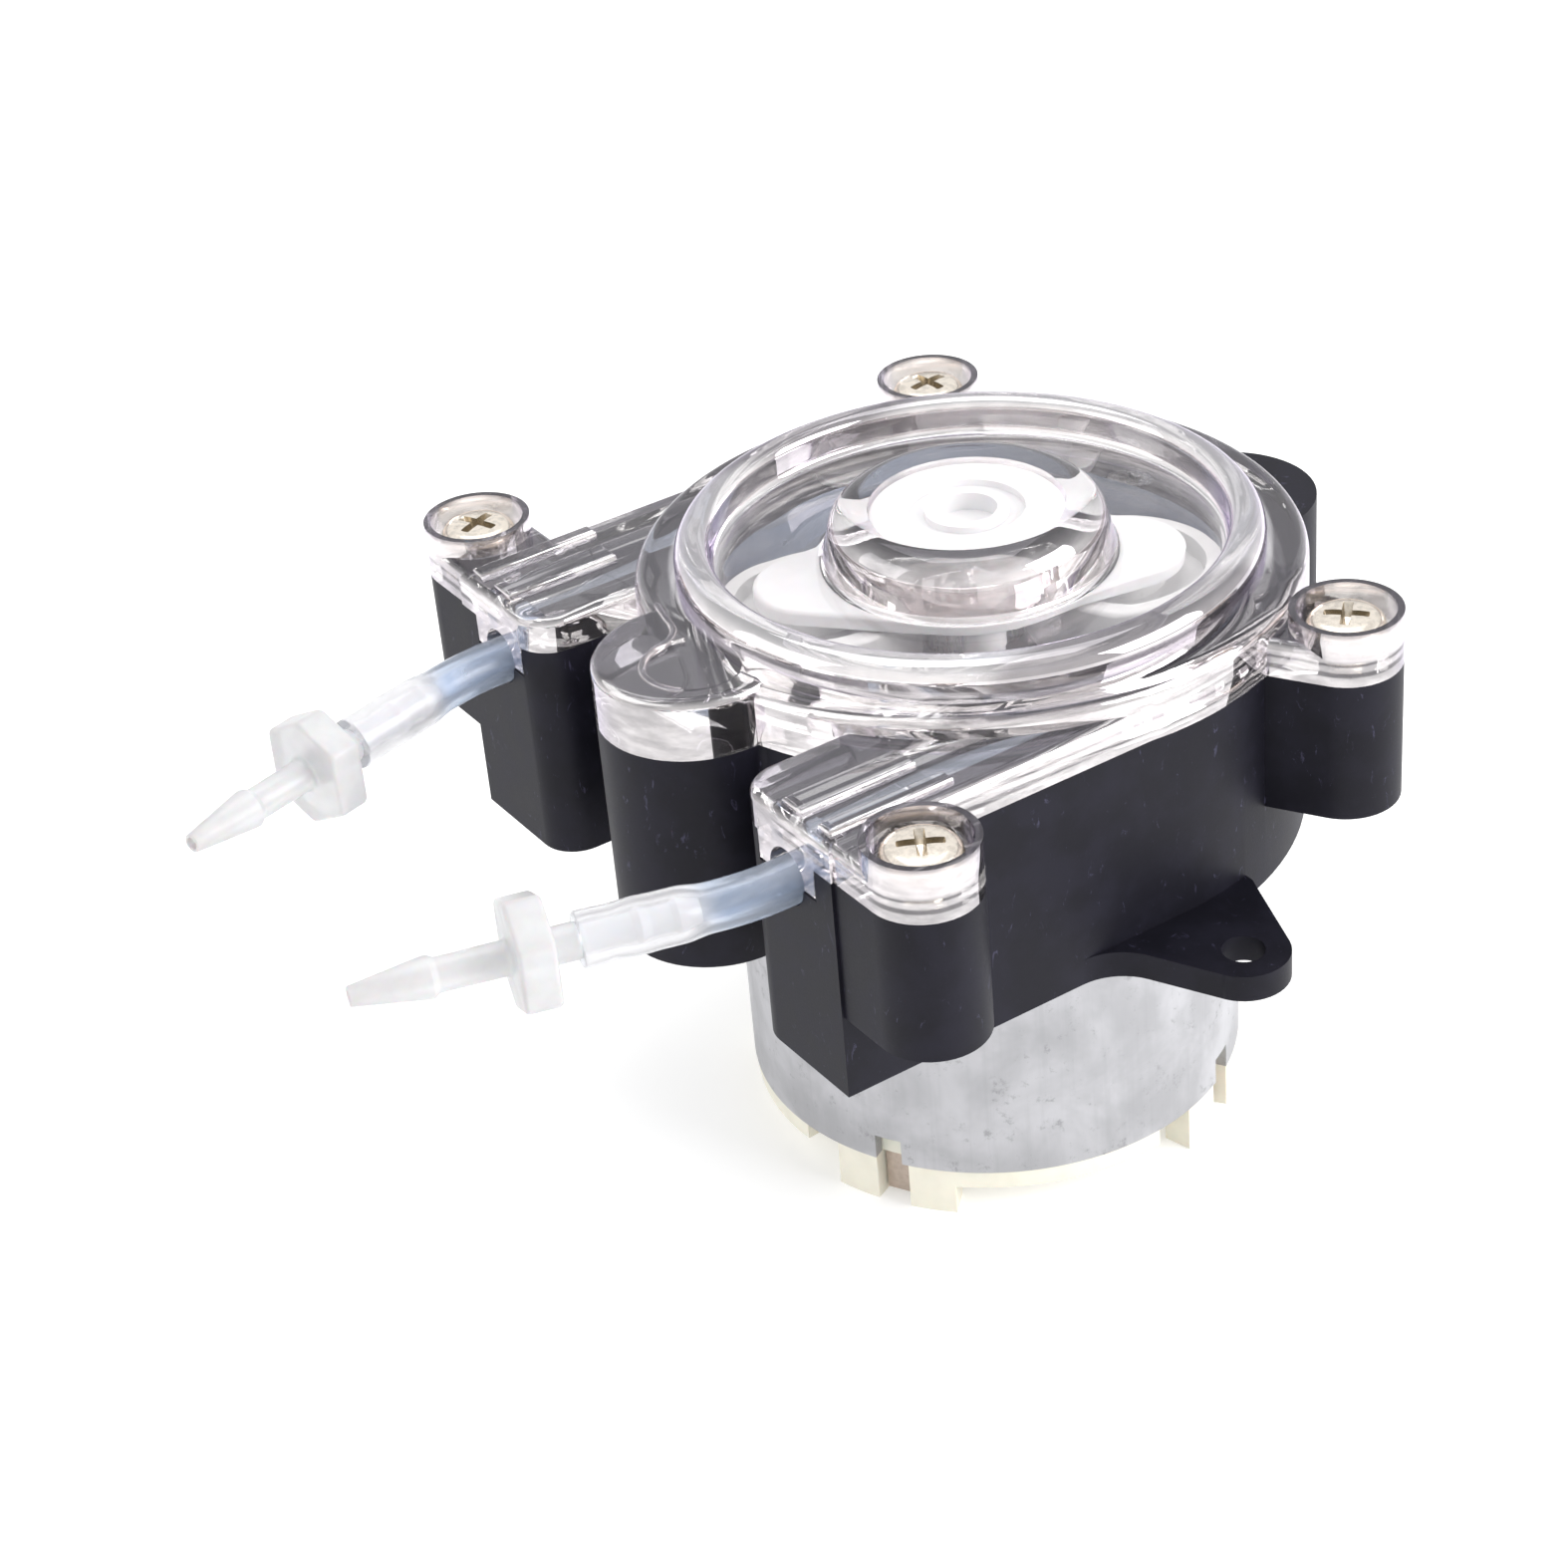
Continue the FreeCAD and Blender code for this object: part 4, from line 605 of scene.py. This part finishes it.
def fitting_moulding():
    """Translucent white moulding of the connectors."""
    base = tuple(colours().fitting)
    s = Shader("fitting moulding", IOR=1.46, Transmission_Weight=0.45, Subsurface_Weight=0.4,
               Subsurface_Scale=0.6 * MM)
    cloud = s.noise(800.0, 3.0)
    s.set("Base Color", s.mix(cloud.ramp(0.3, 0.75), base, tinted(base, 0.95)))
    s.set("Roughness", 0.28 + 0.15 * cloud)
    s.bump(s.noise(3500.0, 2.0), 0.01 * MM, 0.4)
    return s.material


def plain_plastic(name, rgb, roughness, grain=0.01, scatter=0.0):
    """An opaque moulding with cloudy colour, a breath of grain and a little light let in."""
    s = Shader(name, Subsurface_Weight=scatter, Subsurface_Scale=1.0 * MM)
    cloud = s.noise(420.0, 3.0)
    s.set("Base Color", s.mix(cloud.ramp(0.3, 0.75), rgb, tinted(rgb, 0.93)))
    s.set("Roughness", roughness + 0.12 * cloud)
    s.bump(s.noise(4200.0, 2.0), grain * MM, 0.4)
    return s.material


def zinc_plate():
    """Bright zinc on drawn steel: faint blooms, upright streaks that are drawing marks in their bump and
    roughness and painted streaks of reflection in their darker colour, scratches and small dark specks.
    """
    base = tuple(colours().zinc)
    s = Shader("zinc plate", Metallic=0.8)
    bloom = s.noise(110.0, 4.0, 0.6, distortion=0.3)
    speck = s.noise(520.0, 6.0, 0.8)
    drawn = s.noise(1100.0, 3.0, 0.6, stretch=(1.0, 1.0, 0.04))
    scratch = s.noise(420.0, 6.0, 0.8, stretch=(1.0, 1.0, 0.35), distortion=1.4)
    tone = s.mix(bloom.ramp(0.32, 0.7), tinted(base, 0.80), tinted(base, 1.1))
    tone = s.mix(speck.ramp(0.56, 0.70) * 0.6, tone, tinted(base, 0.45))
    # Upright streaks darken the colour: partly drawing marks, partly painted streaks of reflection.
    tone = s.mix(drawn.ramp(0.5, 0.7) * 0.16, tone, tinted(base, 0.7))
    s.set("Base Color", tone)
    s.set("Roughness", 0.40 + 0.16 * bloom + 0.12 * drawn)
    s.bump(speck * 0.4 + drawn * 0.3 + scratch.ramp(0.55, 0.62) * 0.4, 0.014 * MM, 0.5)
    return s.material


def plain_metal(name, rgb, roughness, stretch=(1.0, 1.0, 1.0)):
    """Bare metal with its machining marks drawn out by stretch."""
    s = Shader(name, Metallic=1.0)
    marks = s.noise(1800.0, 3.0, 0.6, stretch=stretch)
    s.set("Base Color", s.mix(marks.ramp(0.3, 0.7), tinted(rgb, 0.85), rgb))
    s.set("Roughness", roughness + 0.15 * marks)
    s.bump(marks, 0.01 * MM, 0.4)
    return s.material


def laminated_steel():
    """Thin sheets stacked along the axis, with a dark line between one and the next."""
    s = Shader("laminated steel", Metallic=0.9)
    sheet = s.node("ShaderNodeTexWave", {"bands_direction": "Z", "wave_profile": "SAW"}, Vector=s.place,
                   Scale=640.0, Distortion=0.0, out="Fac")
    s.set("Base Color", s.mix(sheet.ramp(0.7, 1.0), (0.33, 0.33, 0.35), (0.09, 0.09, 0.10)))
    s.set("Roughness", 0.4 + 0.2 * sheet)
    s.bump(sheet, 0.03 * MM, 0.5)
    return s.material


def wound_wire():
    """Enamelled copper wire laid turn beside turn."""
    s = Shader("wound wire", Metallic=0.75, Coat_Weight=0.4)
    turns = s.node("ShaderNodeTexWave", {"bands_direction": "Z"}, Vector=s.place, Scale=520.0,
                   Distortion=0.4, out="Fac")
    s.set("Base Color", s.mix(turns, (0.22, 0.07, 0.025), (0.62, 0.25, 0.09)))
    s.set("Roughness", 0.3 + 0.2 * (1.0 - turns))
    s.bump(turns, 0.1 * MM, 0.6)
    return s.material


def ferrite():
    """Ground dark magnet with fine pits."""
    s = Shader("ferrite", Specular_IOR_Level=0.4)
    pits = s.noise(2200.0, 4.0, 0.7)
    s.set("Base Color", s.mix(pits.ramp(0.4, 0.7), (0.03, 0.03, 0.032), (0.075, 0.075, 0.08)))
    s.set("Roughness", 0.5 + 0.25 * pits)
    s.bump(pits, 0.03 * MM, 0.5)
    return s.material


def pale_floor():
    """Pale matt floor with a faint cloud in it."""
    s = Shader("pale floor", Specular_IOR_Level=0.1, Emission_Color=(1.0, 1.0, 1.0), Emission_Strength=0.32)
    base = tuple(colours().floor)
    cloud = s.noise(9.0, 3.0)
    s.set("Base Color", s.mix(cloud, base, tinted(base, 0.985)))
    s.set("Roughness", 0.55 + 0.1 * cloud)
    return s.material


MATERIALS = {}


def material(maker, *values):
    """The material that a maker makes, made once."""
    key = (maker.__name__, values)
    if key not in MATERIALS:
        MATERIALS[key] = maker(*values)
    return MATERIALS[key]


def dress(piece, finish, body, slot, *nodes):
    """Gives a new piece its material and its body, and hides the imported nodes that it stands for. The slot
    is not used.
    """
    piece.data.materials.clear()
    piece.data.materials.append(finish)
    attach(piece, body)
    if nodes:
        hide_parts(*nodes)


def repaint(finish, *nodes):
    """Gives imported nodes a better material."""
    for node in nodes:
        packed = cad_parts[node]
        if not packed.material_slots:
            packed.data.materials.append(finish)
        for slot in packed.material_slots:
            slot.material = finish


# The pieces


class PUMP_OT_housing(bpy.types.Operator):
    """Dresses the black housing with softened edges"""
    bl_idname = "pump.housing"
    bl_label = "Housing"

    def execute(self, context):
        shell = softened("housing_shell", "pump_housing", 0.22 * MM)
        dress(shell, material(black_moulding), "pump_body", "housing_plastic", "pump_housing")
        return {"FINISHED"}


def bead(name, line, height, radius):
    """A round bead along a level line, its ends drawn to a point.

    Ring i is line_i + radius * (cos a * side_i, sin a), where side_i is level and square to the line.
    """
    line = np.asarray(line, float)
    ahead = np.gradient(line, axis=0)
    side = np.stack([ahead[:, 1], -ahead[:, 0]], -1) / np.linalg.norm(ahead, axis=1, keepdims=True)
    a = np.linspace(0, TAU, 20, endpoint=False)
    r = np.full(len(line), radius)
    r[[0, -1]] = 0.0
    r[[1, -2]] = 0.7 * radius
    flat = line[:, None] + side[:, None] * (r[:, None] * np.cos(a))[..., None]
    points = np.concatenate([flat, (height + r[:, None] * np.sin(a))[..., None]], -1)
    return surface(name, points, sharp=60.0)


def hollow_line():
    """The S-shaped edge of the lid's hollow: round the flange, over to the hollow's circle and round that.

    The two circles are joined by the curve (1 - t)^2 p + 2 t (1 - t) q + t^2 r, where q is the point at
    which their tangents meet.
    """
    size = sizes()
    b = np.radians(np.linspace(-108.5, -100.5, 14))
    edge = size.hollow_edge * np.stack([np.cos(b), np.sin(b)], -1)
    a = np.radians(np.linspace(190, 318, 50))
    middle = np.array([size.hollow_x, size.hollow_y])
    hollow = middle + size.hollow * np.stack([np.cos(a), np.sin(a)], -1)
    p, r = edge[-1], hollow[0]
    leaving = np.array([-math.sin(b[-1]), math.cos(b[-1])])
    meeting = np.array([-math.sin(a[0]), math.cos(a[0])])
    reach = np.linalg.solve(np.stack([leaving, meeting], -1), r - p)[0]
    t = np.linspace(0, 1, 16)[1:-1, None]
    return np.vstack([edge, (1 - t) ** 2 * p + 2 * t * (1 - t) * (p + reach * leaving) + t ** 2 * r, hollow])


class PUMP_OT_cover(bpy.types.Operator):
    """Dresses the clear cover with softened edges, and runs the bead round the hollow of its front lid"""
    bl_idname = "pump.cover"
    bl_label = "Clear cover"

    def execute(self, context):
        shell = softened("cover_shell", "clear_cover", 0.2 * MM)
        lifted(shell, studio().aim_height, sizes().air)
        turned(shell, sizes().flange)
        dress(shell, material(clear_moulding), "pump_body", "clear_plastic", "clear_cover")
        ridge = bead("lid_bead", hollow_line(), studio().aim_height + sizes().lid_height, sizes().bead)
        dress(ridge, material(clear_moulding), "pump_body", "clear_plastic")
        return {"FINISHED"}


def screw_thread(name, low, high):
    """A threaded shank: radius = r - d * |2 frac(z / p - a / 2 pi) - 1|, with height z and angle a."""
    size = sizes()
    depth = 0.31 * size.thread_pitch
    z = np.linspace(low, high, 14 * round((high - low) / size.thread_pitch))
    a = np.linspace(0, TAU, 32, endpoint=False)
    phase = (z[:, None] / size.thread_pitch - a[None] / TAU) % 1.0
    taper = np.clip((z[:, None] - low) / size.thread_pitch, 0.0, 1.0)
    r = size.screw_core - depth * (1 - taper) - depth * np.abs(2 * phase - 1)
    points = np.stack([r * np.cos(a), r * np.sin(a), z[:, None] * np.ones_like(a)[None]], -1)
    cap = np.zeros((1, len(a), 3))
    points = np.concatenate([cap + [0, 0, low], points, cap + [0, 0, high]])
    return surface(name, points, sharp=60.0)


def cross_cutter(name, top, span, width, depth):
    """A tapered cross: a square outline pinched to four arms, drawn in towards its tip.

    The outline's radius at angle a is span where the arm lies and follows the arm's flat sides
    elsewhere: r = min(span, width / min(|sin a|, |cos a|)).
    """
    a = np.linspace(0, TAU, 160, endpoint=False)
    x, y = np.cos(a), np.sin(a)
    side = np.minimum(np.abs(x), np.abs(y))
    reach = np.minimum(span, width / np.maximum(side, 1e-4))
    rows = np.array([[1.12, 0.3 * MM], [1.0, 0.0], [0.72, -depth * 0.75], [0.1, -depth]])
    r = reach[None] * rows[:, :1]
    points = np.stack([r * x, r * y, top + rows[:, 1:2] * np.ones_like(a)[None]], -1)
    ends = np.zeros((1, len(a), 3))
    points = np.concatenate([ends + [0, 0, top + 0.3 * MM], points, ends + [0, 0, top - depth]])
    return surface(name, points, sharp=30.0)


class PUMP_OT_cover_screws(bpy.types.Operator):
    """Builds the four pan-head screws with their threads and cross recesses"""
    bl_idname = "pump.cover_screws"
    bl_label = "Cover screws"

    def execute(self, context):
        size = sizes()
        low, high = corner("cover_screws", 0), corner("cover_screws", 1)
        reach = size.screw_head
        top = high.z
        seat = top - size.head_height
        places = [(s * (high.x - reach), low.y + reach) for s in (-1, 1)]
        places += [(s * size.back_screw_x, high.y - reach) for s in (-1, 1)]
        head = rounded([(0, seat), (reach, seat), (reach, top - 0.2 * MM), (1.2 * MM, top), (0, top)],
                       [0, 0.12 * MM, 1.35 * MM, 2.0 * MM, 0], 7)
        for number, (x, y) in enumerate(places):
            turn = Matrix.Rotation(math.radians(22 + 37 * number), 3, "Z")
            cap = lathe("head", head, around=64)
            carved(cap, cross_cutter("cross", top, size.cross_reach, size.cross_half, size.cross_depth))
            finish_shading(cap.data, 35.0)
            thread = screw_thread("thread", low.z, seat + 0.1 * MM)
            screw = joined(f"cover_screw_{number + 1}", [cap, thread])
            screw.data.transform(Matrix.Translation((x, y, 0)) @ turn.to_4x4())
            dress(screw, material(nickel_plate), "pump_body", "screw_nickel", "cover_screws")
        return {"FINISHED"}


def smooth_step(x):
    """0 below 0, 1 above 1 and smooth between them."""
    x = np.clip(x, 0, 1)
    return x * x * (3 - 2 * x)


# Squareness of the tube's section, |x / t| ^ p + |z / h| ^ p = 1, where it is round and where it is pressed.
ROUND, SQUARE = 2.0, 3.2


def tube_route():
    """Centre line and section of the whole tube, from its left end to its right end.

    The right half is an arc about the pump's axis, a straight run in the block, a bend of constant
    radius and a straight run over the barb. Along it the section goes from pressed to round and
    swells over the barb. The left half is its mirror image.
    Returns centres, sideways directions, half thickness, half height, squareness, the ends' rounding
    and the swell.
    """
    size = sizes()
    turn = size.bend_turn
    arc = np.radians(np.linspace(90, 0, 60))
    pressed = np.stack([size.pressed_x * np.cos(arc), size.pressed_x * np.sin(arc)], -1)
    y = np.concatenate([np.linspace(0, size.pressed_end, 10)[1:],
                        np.linspace(size.pressed_end, size.round_start, 18)[1:],
                        np.linspace(size.round_start, size.bend_start, 14)[1:]])
    part = smooth_step((y - size.pressed_end) / (size.round_start - size.pressed_end))
    x = size.pressed_x + (size.tube_x - size.pressed_x) * part
    straight = np.stack([x, y], -1)
    t = np.linspace(0, turn, 12)[1:]
    centre_x = size.tube_x - size.bend_radius
    bend = np.stack([centre_x + size.bend_radius * np.cos(t),
                     size.bend_start - size.bend_radius * np.sin(t)], -1)
    way = np.array([-math.sin(turn), -math.cos(turn)])
    s = np.concatenate([np.linspace(0, size.last_run, 40)[1:-1],
                        size.last_run + np.array([-0.16, -0.08, -0.02, 0.0]) * MM])
    last = bend[-1] + s[:, None] * way
    half = np.concatenate([pressed, straight, bend, last])
    blend = np.concatenate([np.zeros(len(pressed)), part, np.ones(len(bend) + len(last))])
    over_barb = size.swell * smooth_step((s - 0.3 * MM) / (2.4 * MM))
    over_barb += 0.05 * MM * np.exp(-((s - size.last_run + 4.8 * MM) / (0.9 * MM)) ** 2)
    over_barb -= 0.05 * MM * np.exp(-((s - size.last_run + 2.6 * MM) / (1.0 * MM)) ** 2)
    swell = np.concatenate([np.zeros(len(half) - len(s)), over_barb])
    end_round = np.zeros(len(half))
    end_round[-4:] = np.array([0.0, 0.02, 0.07, 0.16]) * MM
    thick = size.pressed_half + (size.tube_outer - size.pressed_half) * blend + swell
    tall = size.pressed_tall + (size.tube_outer - size.pressed_tall) * blend + swell
    power = SQUARE - (SQUARE - ROUND) * blend
    left = half[:0:-1] * [-1, 1]

    def both(values):
        """The right half's values with their mirror image before them."""
        return np.concatenate([values[:0:-1], values])

    centres = np.concatenate([left, half])
    ahead = np.gradient(centres, axis=0)
    ahead /= np.linalg.norm(ahead, axis=1, keepdims=True)
    side = np.stack([ahead[:, 1], -ahead[:, 0]], -1)
    return centres, side, both(thick), both(tall), both(power), both(end_round), both(swell)


class PUMP_OT_tube(bpy.types.Operator):
    """Builds the silicone tube with its wall and bore"""
    bl_idname = "pump.tube"
    bl_label = "Tube"

    def execute(self, context):
        size = sizes()
        centres, side, thick, tall, power, end_round, swell = tube_route()
        a = np.linspace(0, TAU, 48, endpoint=False)
        ca, sa = np.cos(a)[None], np.sin(a)[None]

        def shell(half_t, half_h, squareness):
            """Rings along the route: half_t sideways and half_h upwards."""
            across = half_t[:, None] * np.sign(ca) * np.abs(ca) ** (2 / squareness[:, None])
            up = half_h[:, None] * np.sign(sa) * np.abs(sa) ** (2 / squareness[:, None])
            return np.stack([centres[:, :1] + across * side[:, :1], centres[:, 1:] + across * side[:, 1:],
                             size.tube_z + up], -1)

        outer = shell(thick - end_round, tall - end_round, power)
        blend = (SQUARE - power) / (SQUARE - ROUND)
        bore_t = size.slit_half + (size.tube_bore - size.slit_half) * blend + swell * 1.8
        bore_h = size.slit_tall + (size.tube_bore - size.slit_tall) * blend + swell * 1.8
        inner = shell(bore_t, bore_h, np.full(len(power), ROUND))
        points = np.concatenate([outer, inner[::-1]])
        tube = surface("silicone_tube", points, closed=True, sharp=50.0)
        dress(tube, material(milky_silicone), "pump_body", "silicone", "pump_tube")
        return {"FINISHED"}


def tube_end(sign):
    """The centre of the tube's end face at one side, and the direction that it faces."""
    size = sizes()
    turn = size.bend_turn
    x = size.tube_x - size.bend_radius * (1 - math.cos(turn)) - size.last_run * math.sin(turn)
    y = size.bend_start - size.bend_radius * math.sin(turn) - size.last_run * math.cos(turn)
    return np.array([sign * x, y, size.tube_z]), np.array([-sign * math.sin(turn), -math.cos(turn), 0.0])


def hexagon(a, tall, wide):
    """Radius of a six-sided outline with soft corners, at angles a.

    It is (sum of (cos(a - b) / d) ^ p) ^ (-1 / p) over its sides, each at distance d in direction b. It
    stands on a corner, tall across corners and wide across its upright sides.
    """
    lean = math.atan2(tall / 4, wide / 2)
    normals = np.array([math.pi / 2, -math.pi / 2, math.pi / 2 - 2 * lean, 2 * lean - math.pi / 2,
                        math.pi / 2 + 2 * lean, -math.pi / 2 - 2 * lean])
    corner_distance = tall / 2 * abs(math.cos(math.pi / 2 - 2 * lean))
    distance = np.array([wide / 2, wide / 2] + [corner_distance] * 4)
    facing = np.maximum(np.cos(a[None] - normals[:, None]), 1e-6) / distance[:, None]
    return np.sum(facing ** 34, axis=0) ** (-1 / 34)


# Half section of a connector in millimetres: radius, distance past the tube's end, rounding of the corner.
CONNECTOR = (
    (0.5, -9.6, 0), (1.0, -9.6, 0.15), (1.42, -7.8, 0.15), (1.15, -7.3, 0.1), (1.15, -5.6, 0.1),
    (1.42, -4.8, 0.15), (1.15, -4.2, 0.1), (1.15, -0.5, 0.3), (1.5, 0.2, 0.3), (1.5, 2.3, 0.25),
    (4.4, 2.3, 0.45), (4.4, 5.4, 0.45), (1.42, 5.4, 0.45), (1.38, 11.0, 0.4), (1.7, 11.5, 0.12),
    (1.68, 11.9, 0.2), (0.8, 17.8, 0.15), (0.5, 17.8, 0.1), (0.5, -9.6, 0),
)


class PUMP_OT_connectors(bpy.types.Operator):
    """Builds the two barbed connectors with their six-sided flanges"""
    bl_idname = "pump.connectors"
    bl_label = "Tube connectors"

    def execute(self, context):
        size = sizes()
        section = np.array(CONNECTOR) * MM
        stem = rounded(section[:, :2], section[:, 2], 5)
        a = np.linspace(0, TAU, 96, endpoint=False)
        flange = section[:, 0].max()
        neck = 1.9 * MM  # wider than any round part, and less than half the flange
        hexed = hexagon(a, size.hex_tall, size.hex_wide) / flange
        share = smooth_step((stem[:, 0] - neck) / neck)[:, None]
        for sign, which in ((-1, "left"), (1, "right")):
            place, way = tube_end(sign)
            body = lathe(f"connector_{which}", stem, place, along(way), closed=True, sharp=38.0,
                         outline=1 + share * (hexed[None] - 1))
            dress(body, material(fitting_moulding), "pump_body", "connector_plastic",
                  f"tube_connector_{which}")
        return {"FINISHED"}


class PUMP_OT_rotor(bpy.types.Operator):
    """Dresses the rotor, its rollers and their pins"""
    bl_idname = "pump.rotor"
    bl_label = "Rotor"

    def execute(self, context):
        white = material(plain_plastic, "white acetal", tuple(colours().rotor), 0.34, 0.008, 0.15)
        smooth = material(plain_plastic, "roller acetal", tuple(colours().roller), 0.24, 0.004)
        for name, node, width, finish, body, slot in (
            ("rotor_top", "rotor_bar", 0.18, white, "rotor", "rotor_plastic"),
            ("rotor_base", "carrier_base", 0.15, white, "rotor", "rotor_plastic"),
            ("pressing_roller_1", "roller_1", 0.12, smooth, "roller_a", "roller_plastic"),
            ("pressing_roller_2", "roller_2", 0.12, smooth, "roller_b", "roller_plastic"),
        ):
            dress(softened(name, node, width * MM), finish, body, slot, node)
        repaint(material(plain_plastic, "nylon", (0.66, 0.65, 0.60), 0.4), "roller_washers", "shaft_spacers")
        steel = material(plain_metal, "ground steel", (0.62, 0.62, 0.63), 0.2, (1.0, 1.0, 0.1))
        repaint(steel, "roller_pins", "carrier_screws", "motor_screws", "motor_shaft", "drive_sleeve")
        bronze = material(plain_metal, "sintered bronze", (0.55, 0.38, 0.18), 0.42)
        repaint(bronze, "roller_bush_1", "roller_bush_2", "front_bearing", "rear_bearing")
        return {"FINISHED"}


class PUMP_OT_motor(bpy.types.Operator):
    """Dresses the motor inside and out"""
    bl_idname = "pump.motor"
    bl_label = "Motor"

    def execute(self, context):
        can = softened("can_shell", "motor_can", 0.15 * MM)
        dress(can, material(zinc_plate), "pump_body", "zinc_steel", "motor_can")
        ivory = material(plain_plastic, "ivory moulding", tuple(colours().ivory), 0.42, 0.012, 0.1)
        cap = softened("end_cap_shell", "motor_end_cap", 0.15 * MM)
        dress(cap, ivory, "pump_body", "ivory_plastic", "motor_end_cap")
        copper = material(plain_metal, "copper alloy", tuple(colours().copper), 0.26)
        repaint(copper, "brush_arms", "commutator")
        repaint(material(plain_metal, "tinned copper", tuple(colours().tinned), 0.36), "motor_terminals")
        repaint(material(laminated_steel), "armature_core")
        repaint(material(wound_wire), "armature_windings")
        repaint(material(ferrite), "motor_magnets")
        repaint(material(plain_plastic, "pressed carbon", (0.03, 0.03, 0.03), 0.5), "carbon_brushes")
        return {"FINISHED"}


# Floor, light and camera


FLOOR_HALF = 1.6
LIT_POINT = (0.0, -0.01, 0.0)
# Each softbox: its name, place, width, height and share of the key light's power.
SOFTBOXES = (
    ("top", (-0.12, 0.05, 0.62), 0.5, 0.5, 1.0),
    ("left", (-0.22, -0.55, 0.24), 0.45, 0.4, 0.3),
    ("right", (0.50, 0.36, 0.24), 0.45, 0.4, 3.0),
)


def camera_axes():
    """The camera's right, up and back directions from its azimuth, elevation and roll."""
    view = studio()
    a, e, roll = view.azimuth, view.elevation, view.roll
    back = Vector((math.sin(a) * math.cos(e), -math.cos(a) * math.cos(e), math.sin(e)))
    right = Vector((math.cos(a), math.sin(a), 0))
    up = back.cross(right)
    return math.cos(roll) * right + math.sin(roll) * up, math.cos(roll) * up - math.sin(roll) * right, back


def area_light(name, place, aim, width, height, power):
    """A rectangular soft light that faces its aim point."""
    lamp = bpy.data.lights.new(name, "AREA")
    lamp.shape = "RECTANGLE"
    lamp.size = width
    lamp.size_y = height
    lamp.energy = power
    made = bpy.data.objects.new(name, lamp)
    bpy.context.scene.collection.objects.link(made)
    made.location = place
    made.rotation_euler = (Vector(place) - Vector(aim)).to_track_quat("Z", "Y").to_euler()


class PUMP_OT_stage(bpy.types.Operator):
    """Builds the floor, the light and the camera"""
    bl_idname = "pump.stage"
    bl_label = "Floor, light and camera"

    def execute(self, context):
        scene = context.scene
        view = studio()
        ground = min(corner(node, 0).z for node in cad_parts)
        corners = [(x * FLOOR_HALF, y * FLOOR_HALF, ground) for x, y in ((-1, -1), (1, -1), (1, 1), (-1, 1))]
        floor = mesh_object("floor", corners, [(0, 1, 2, 3)])
        floor.data.materials.append(material(pale_floor))
        right, up, back = camera_axes()
        aim = Vector((0, 0, view.aim_height)) + right * view.aim_across + up * view.aim_up
        lens = bpy.data.cameras.new("camera")
        lens.lens = view.lens
        lens.sensor_width = 36.0
        lens.clip_start = 0.01
        camera = bpy.data.objects.new("camera", lens)
        scene.collection.objects.link(camera)
        camera.matrix_world = Matrix.LocRotScale(
            aim + back * view.distance, Matrix((right, up, back)).transposed().to_quaternion(), None)
        scene.camera = camera
        world = bpy.data.worlds.new("studio")
        world.use_nodes = True
        world.node_tree.nodes["Background"].inputs["Color"].default_value = (1.0, 1.0, 1.0, 1.0)
        world.node_tree.nodes["Background"].inputs["Strength"].default_value = view.sky
        scene.world = world
        for name, place, width, height, share in SOFTBOXES:
            area_light(name, place, LIT_POINT, width, height, view.key * share)
        scene.view_settings.view_transform = "Standard"
        scene.view_settings.look = "None"
        return {"FINISHED"}


OPERATORS = (PUMP_OT_stage, PUMP_OT_housing, PUMP_OT_cover, PUMP_OT_cover_screws, PUMP_OT_tube,
             PUMP_OT_connectors, PUMP_OT_rotor, PUMP_OT_motor)


class PUMP_PT_panel(bpy.types.Panel):
    """Sizes, colours and makers of the pump"""
    bl_label = "Dosing pump"
    bl_idname = "PUMP_PT_panel"
    bl_space_type = "VIEW_3D"
    bl_region_type = "UI"
    bl_category = "Pump"

    def draw(self, context):
        for operator in OPERATORS:
            self.layout.operator(operator.bl_idname)
        for group in (context.scene.pump_sizes, context.scene.pump_colours, context.scene.pump_studio):
            box = self.layout.box()
            for key in group.__annotations__:
                box.prop(group, key)


GROUPS = (PumpSizes, PumpColours, PumpStudio)


def register():
    """Adds the classes and their settings."""
    for kind in (*GROUPS, *OPERATORS, PUMP_PT_panel):
        bpy.utils.register_class(kind)
    bpy.types.Scene.pump_sizes = PointerProperty(type=PumpSizes)
    bpy.types.Scene.pump_colours = PointerProperty(type=PumpColours)
    bpy.types.Scene.pump_studio = PointerProperty(type=PumpStudio)


def unregister():
    """Takes the classes and their settings away."""
    del bpy.types.Scene.pump_sizes, bpy.types.Scene.pump_colours, bpy.types.Scene.pump_studio
    for kind in reversed((*GROUPS, *OPERATORS, PUMP_PT_panel)):
        bpy.utils.unregister_class(kind)


def main():
    """Builds everything in order."""
    register()
    bpy.ops.pump.stage()
    bpy.ops.pump.housing()
    bpy.ops.pump.cover()
    bpy.ops.pump.cover_screws()
    bpy.ops.pump.tube()
    bpy.ops.pump.connectors()
    bpy.ops.pump.rotor()
    bpy.ops.pump.motor()


if __name__ == "__main__":
    main()
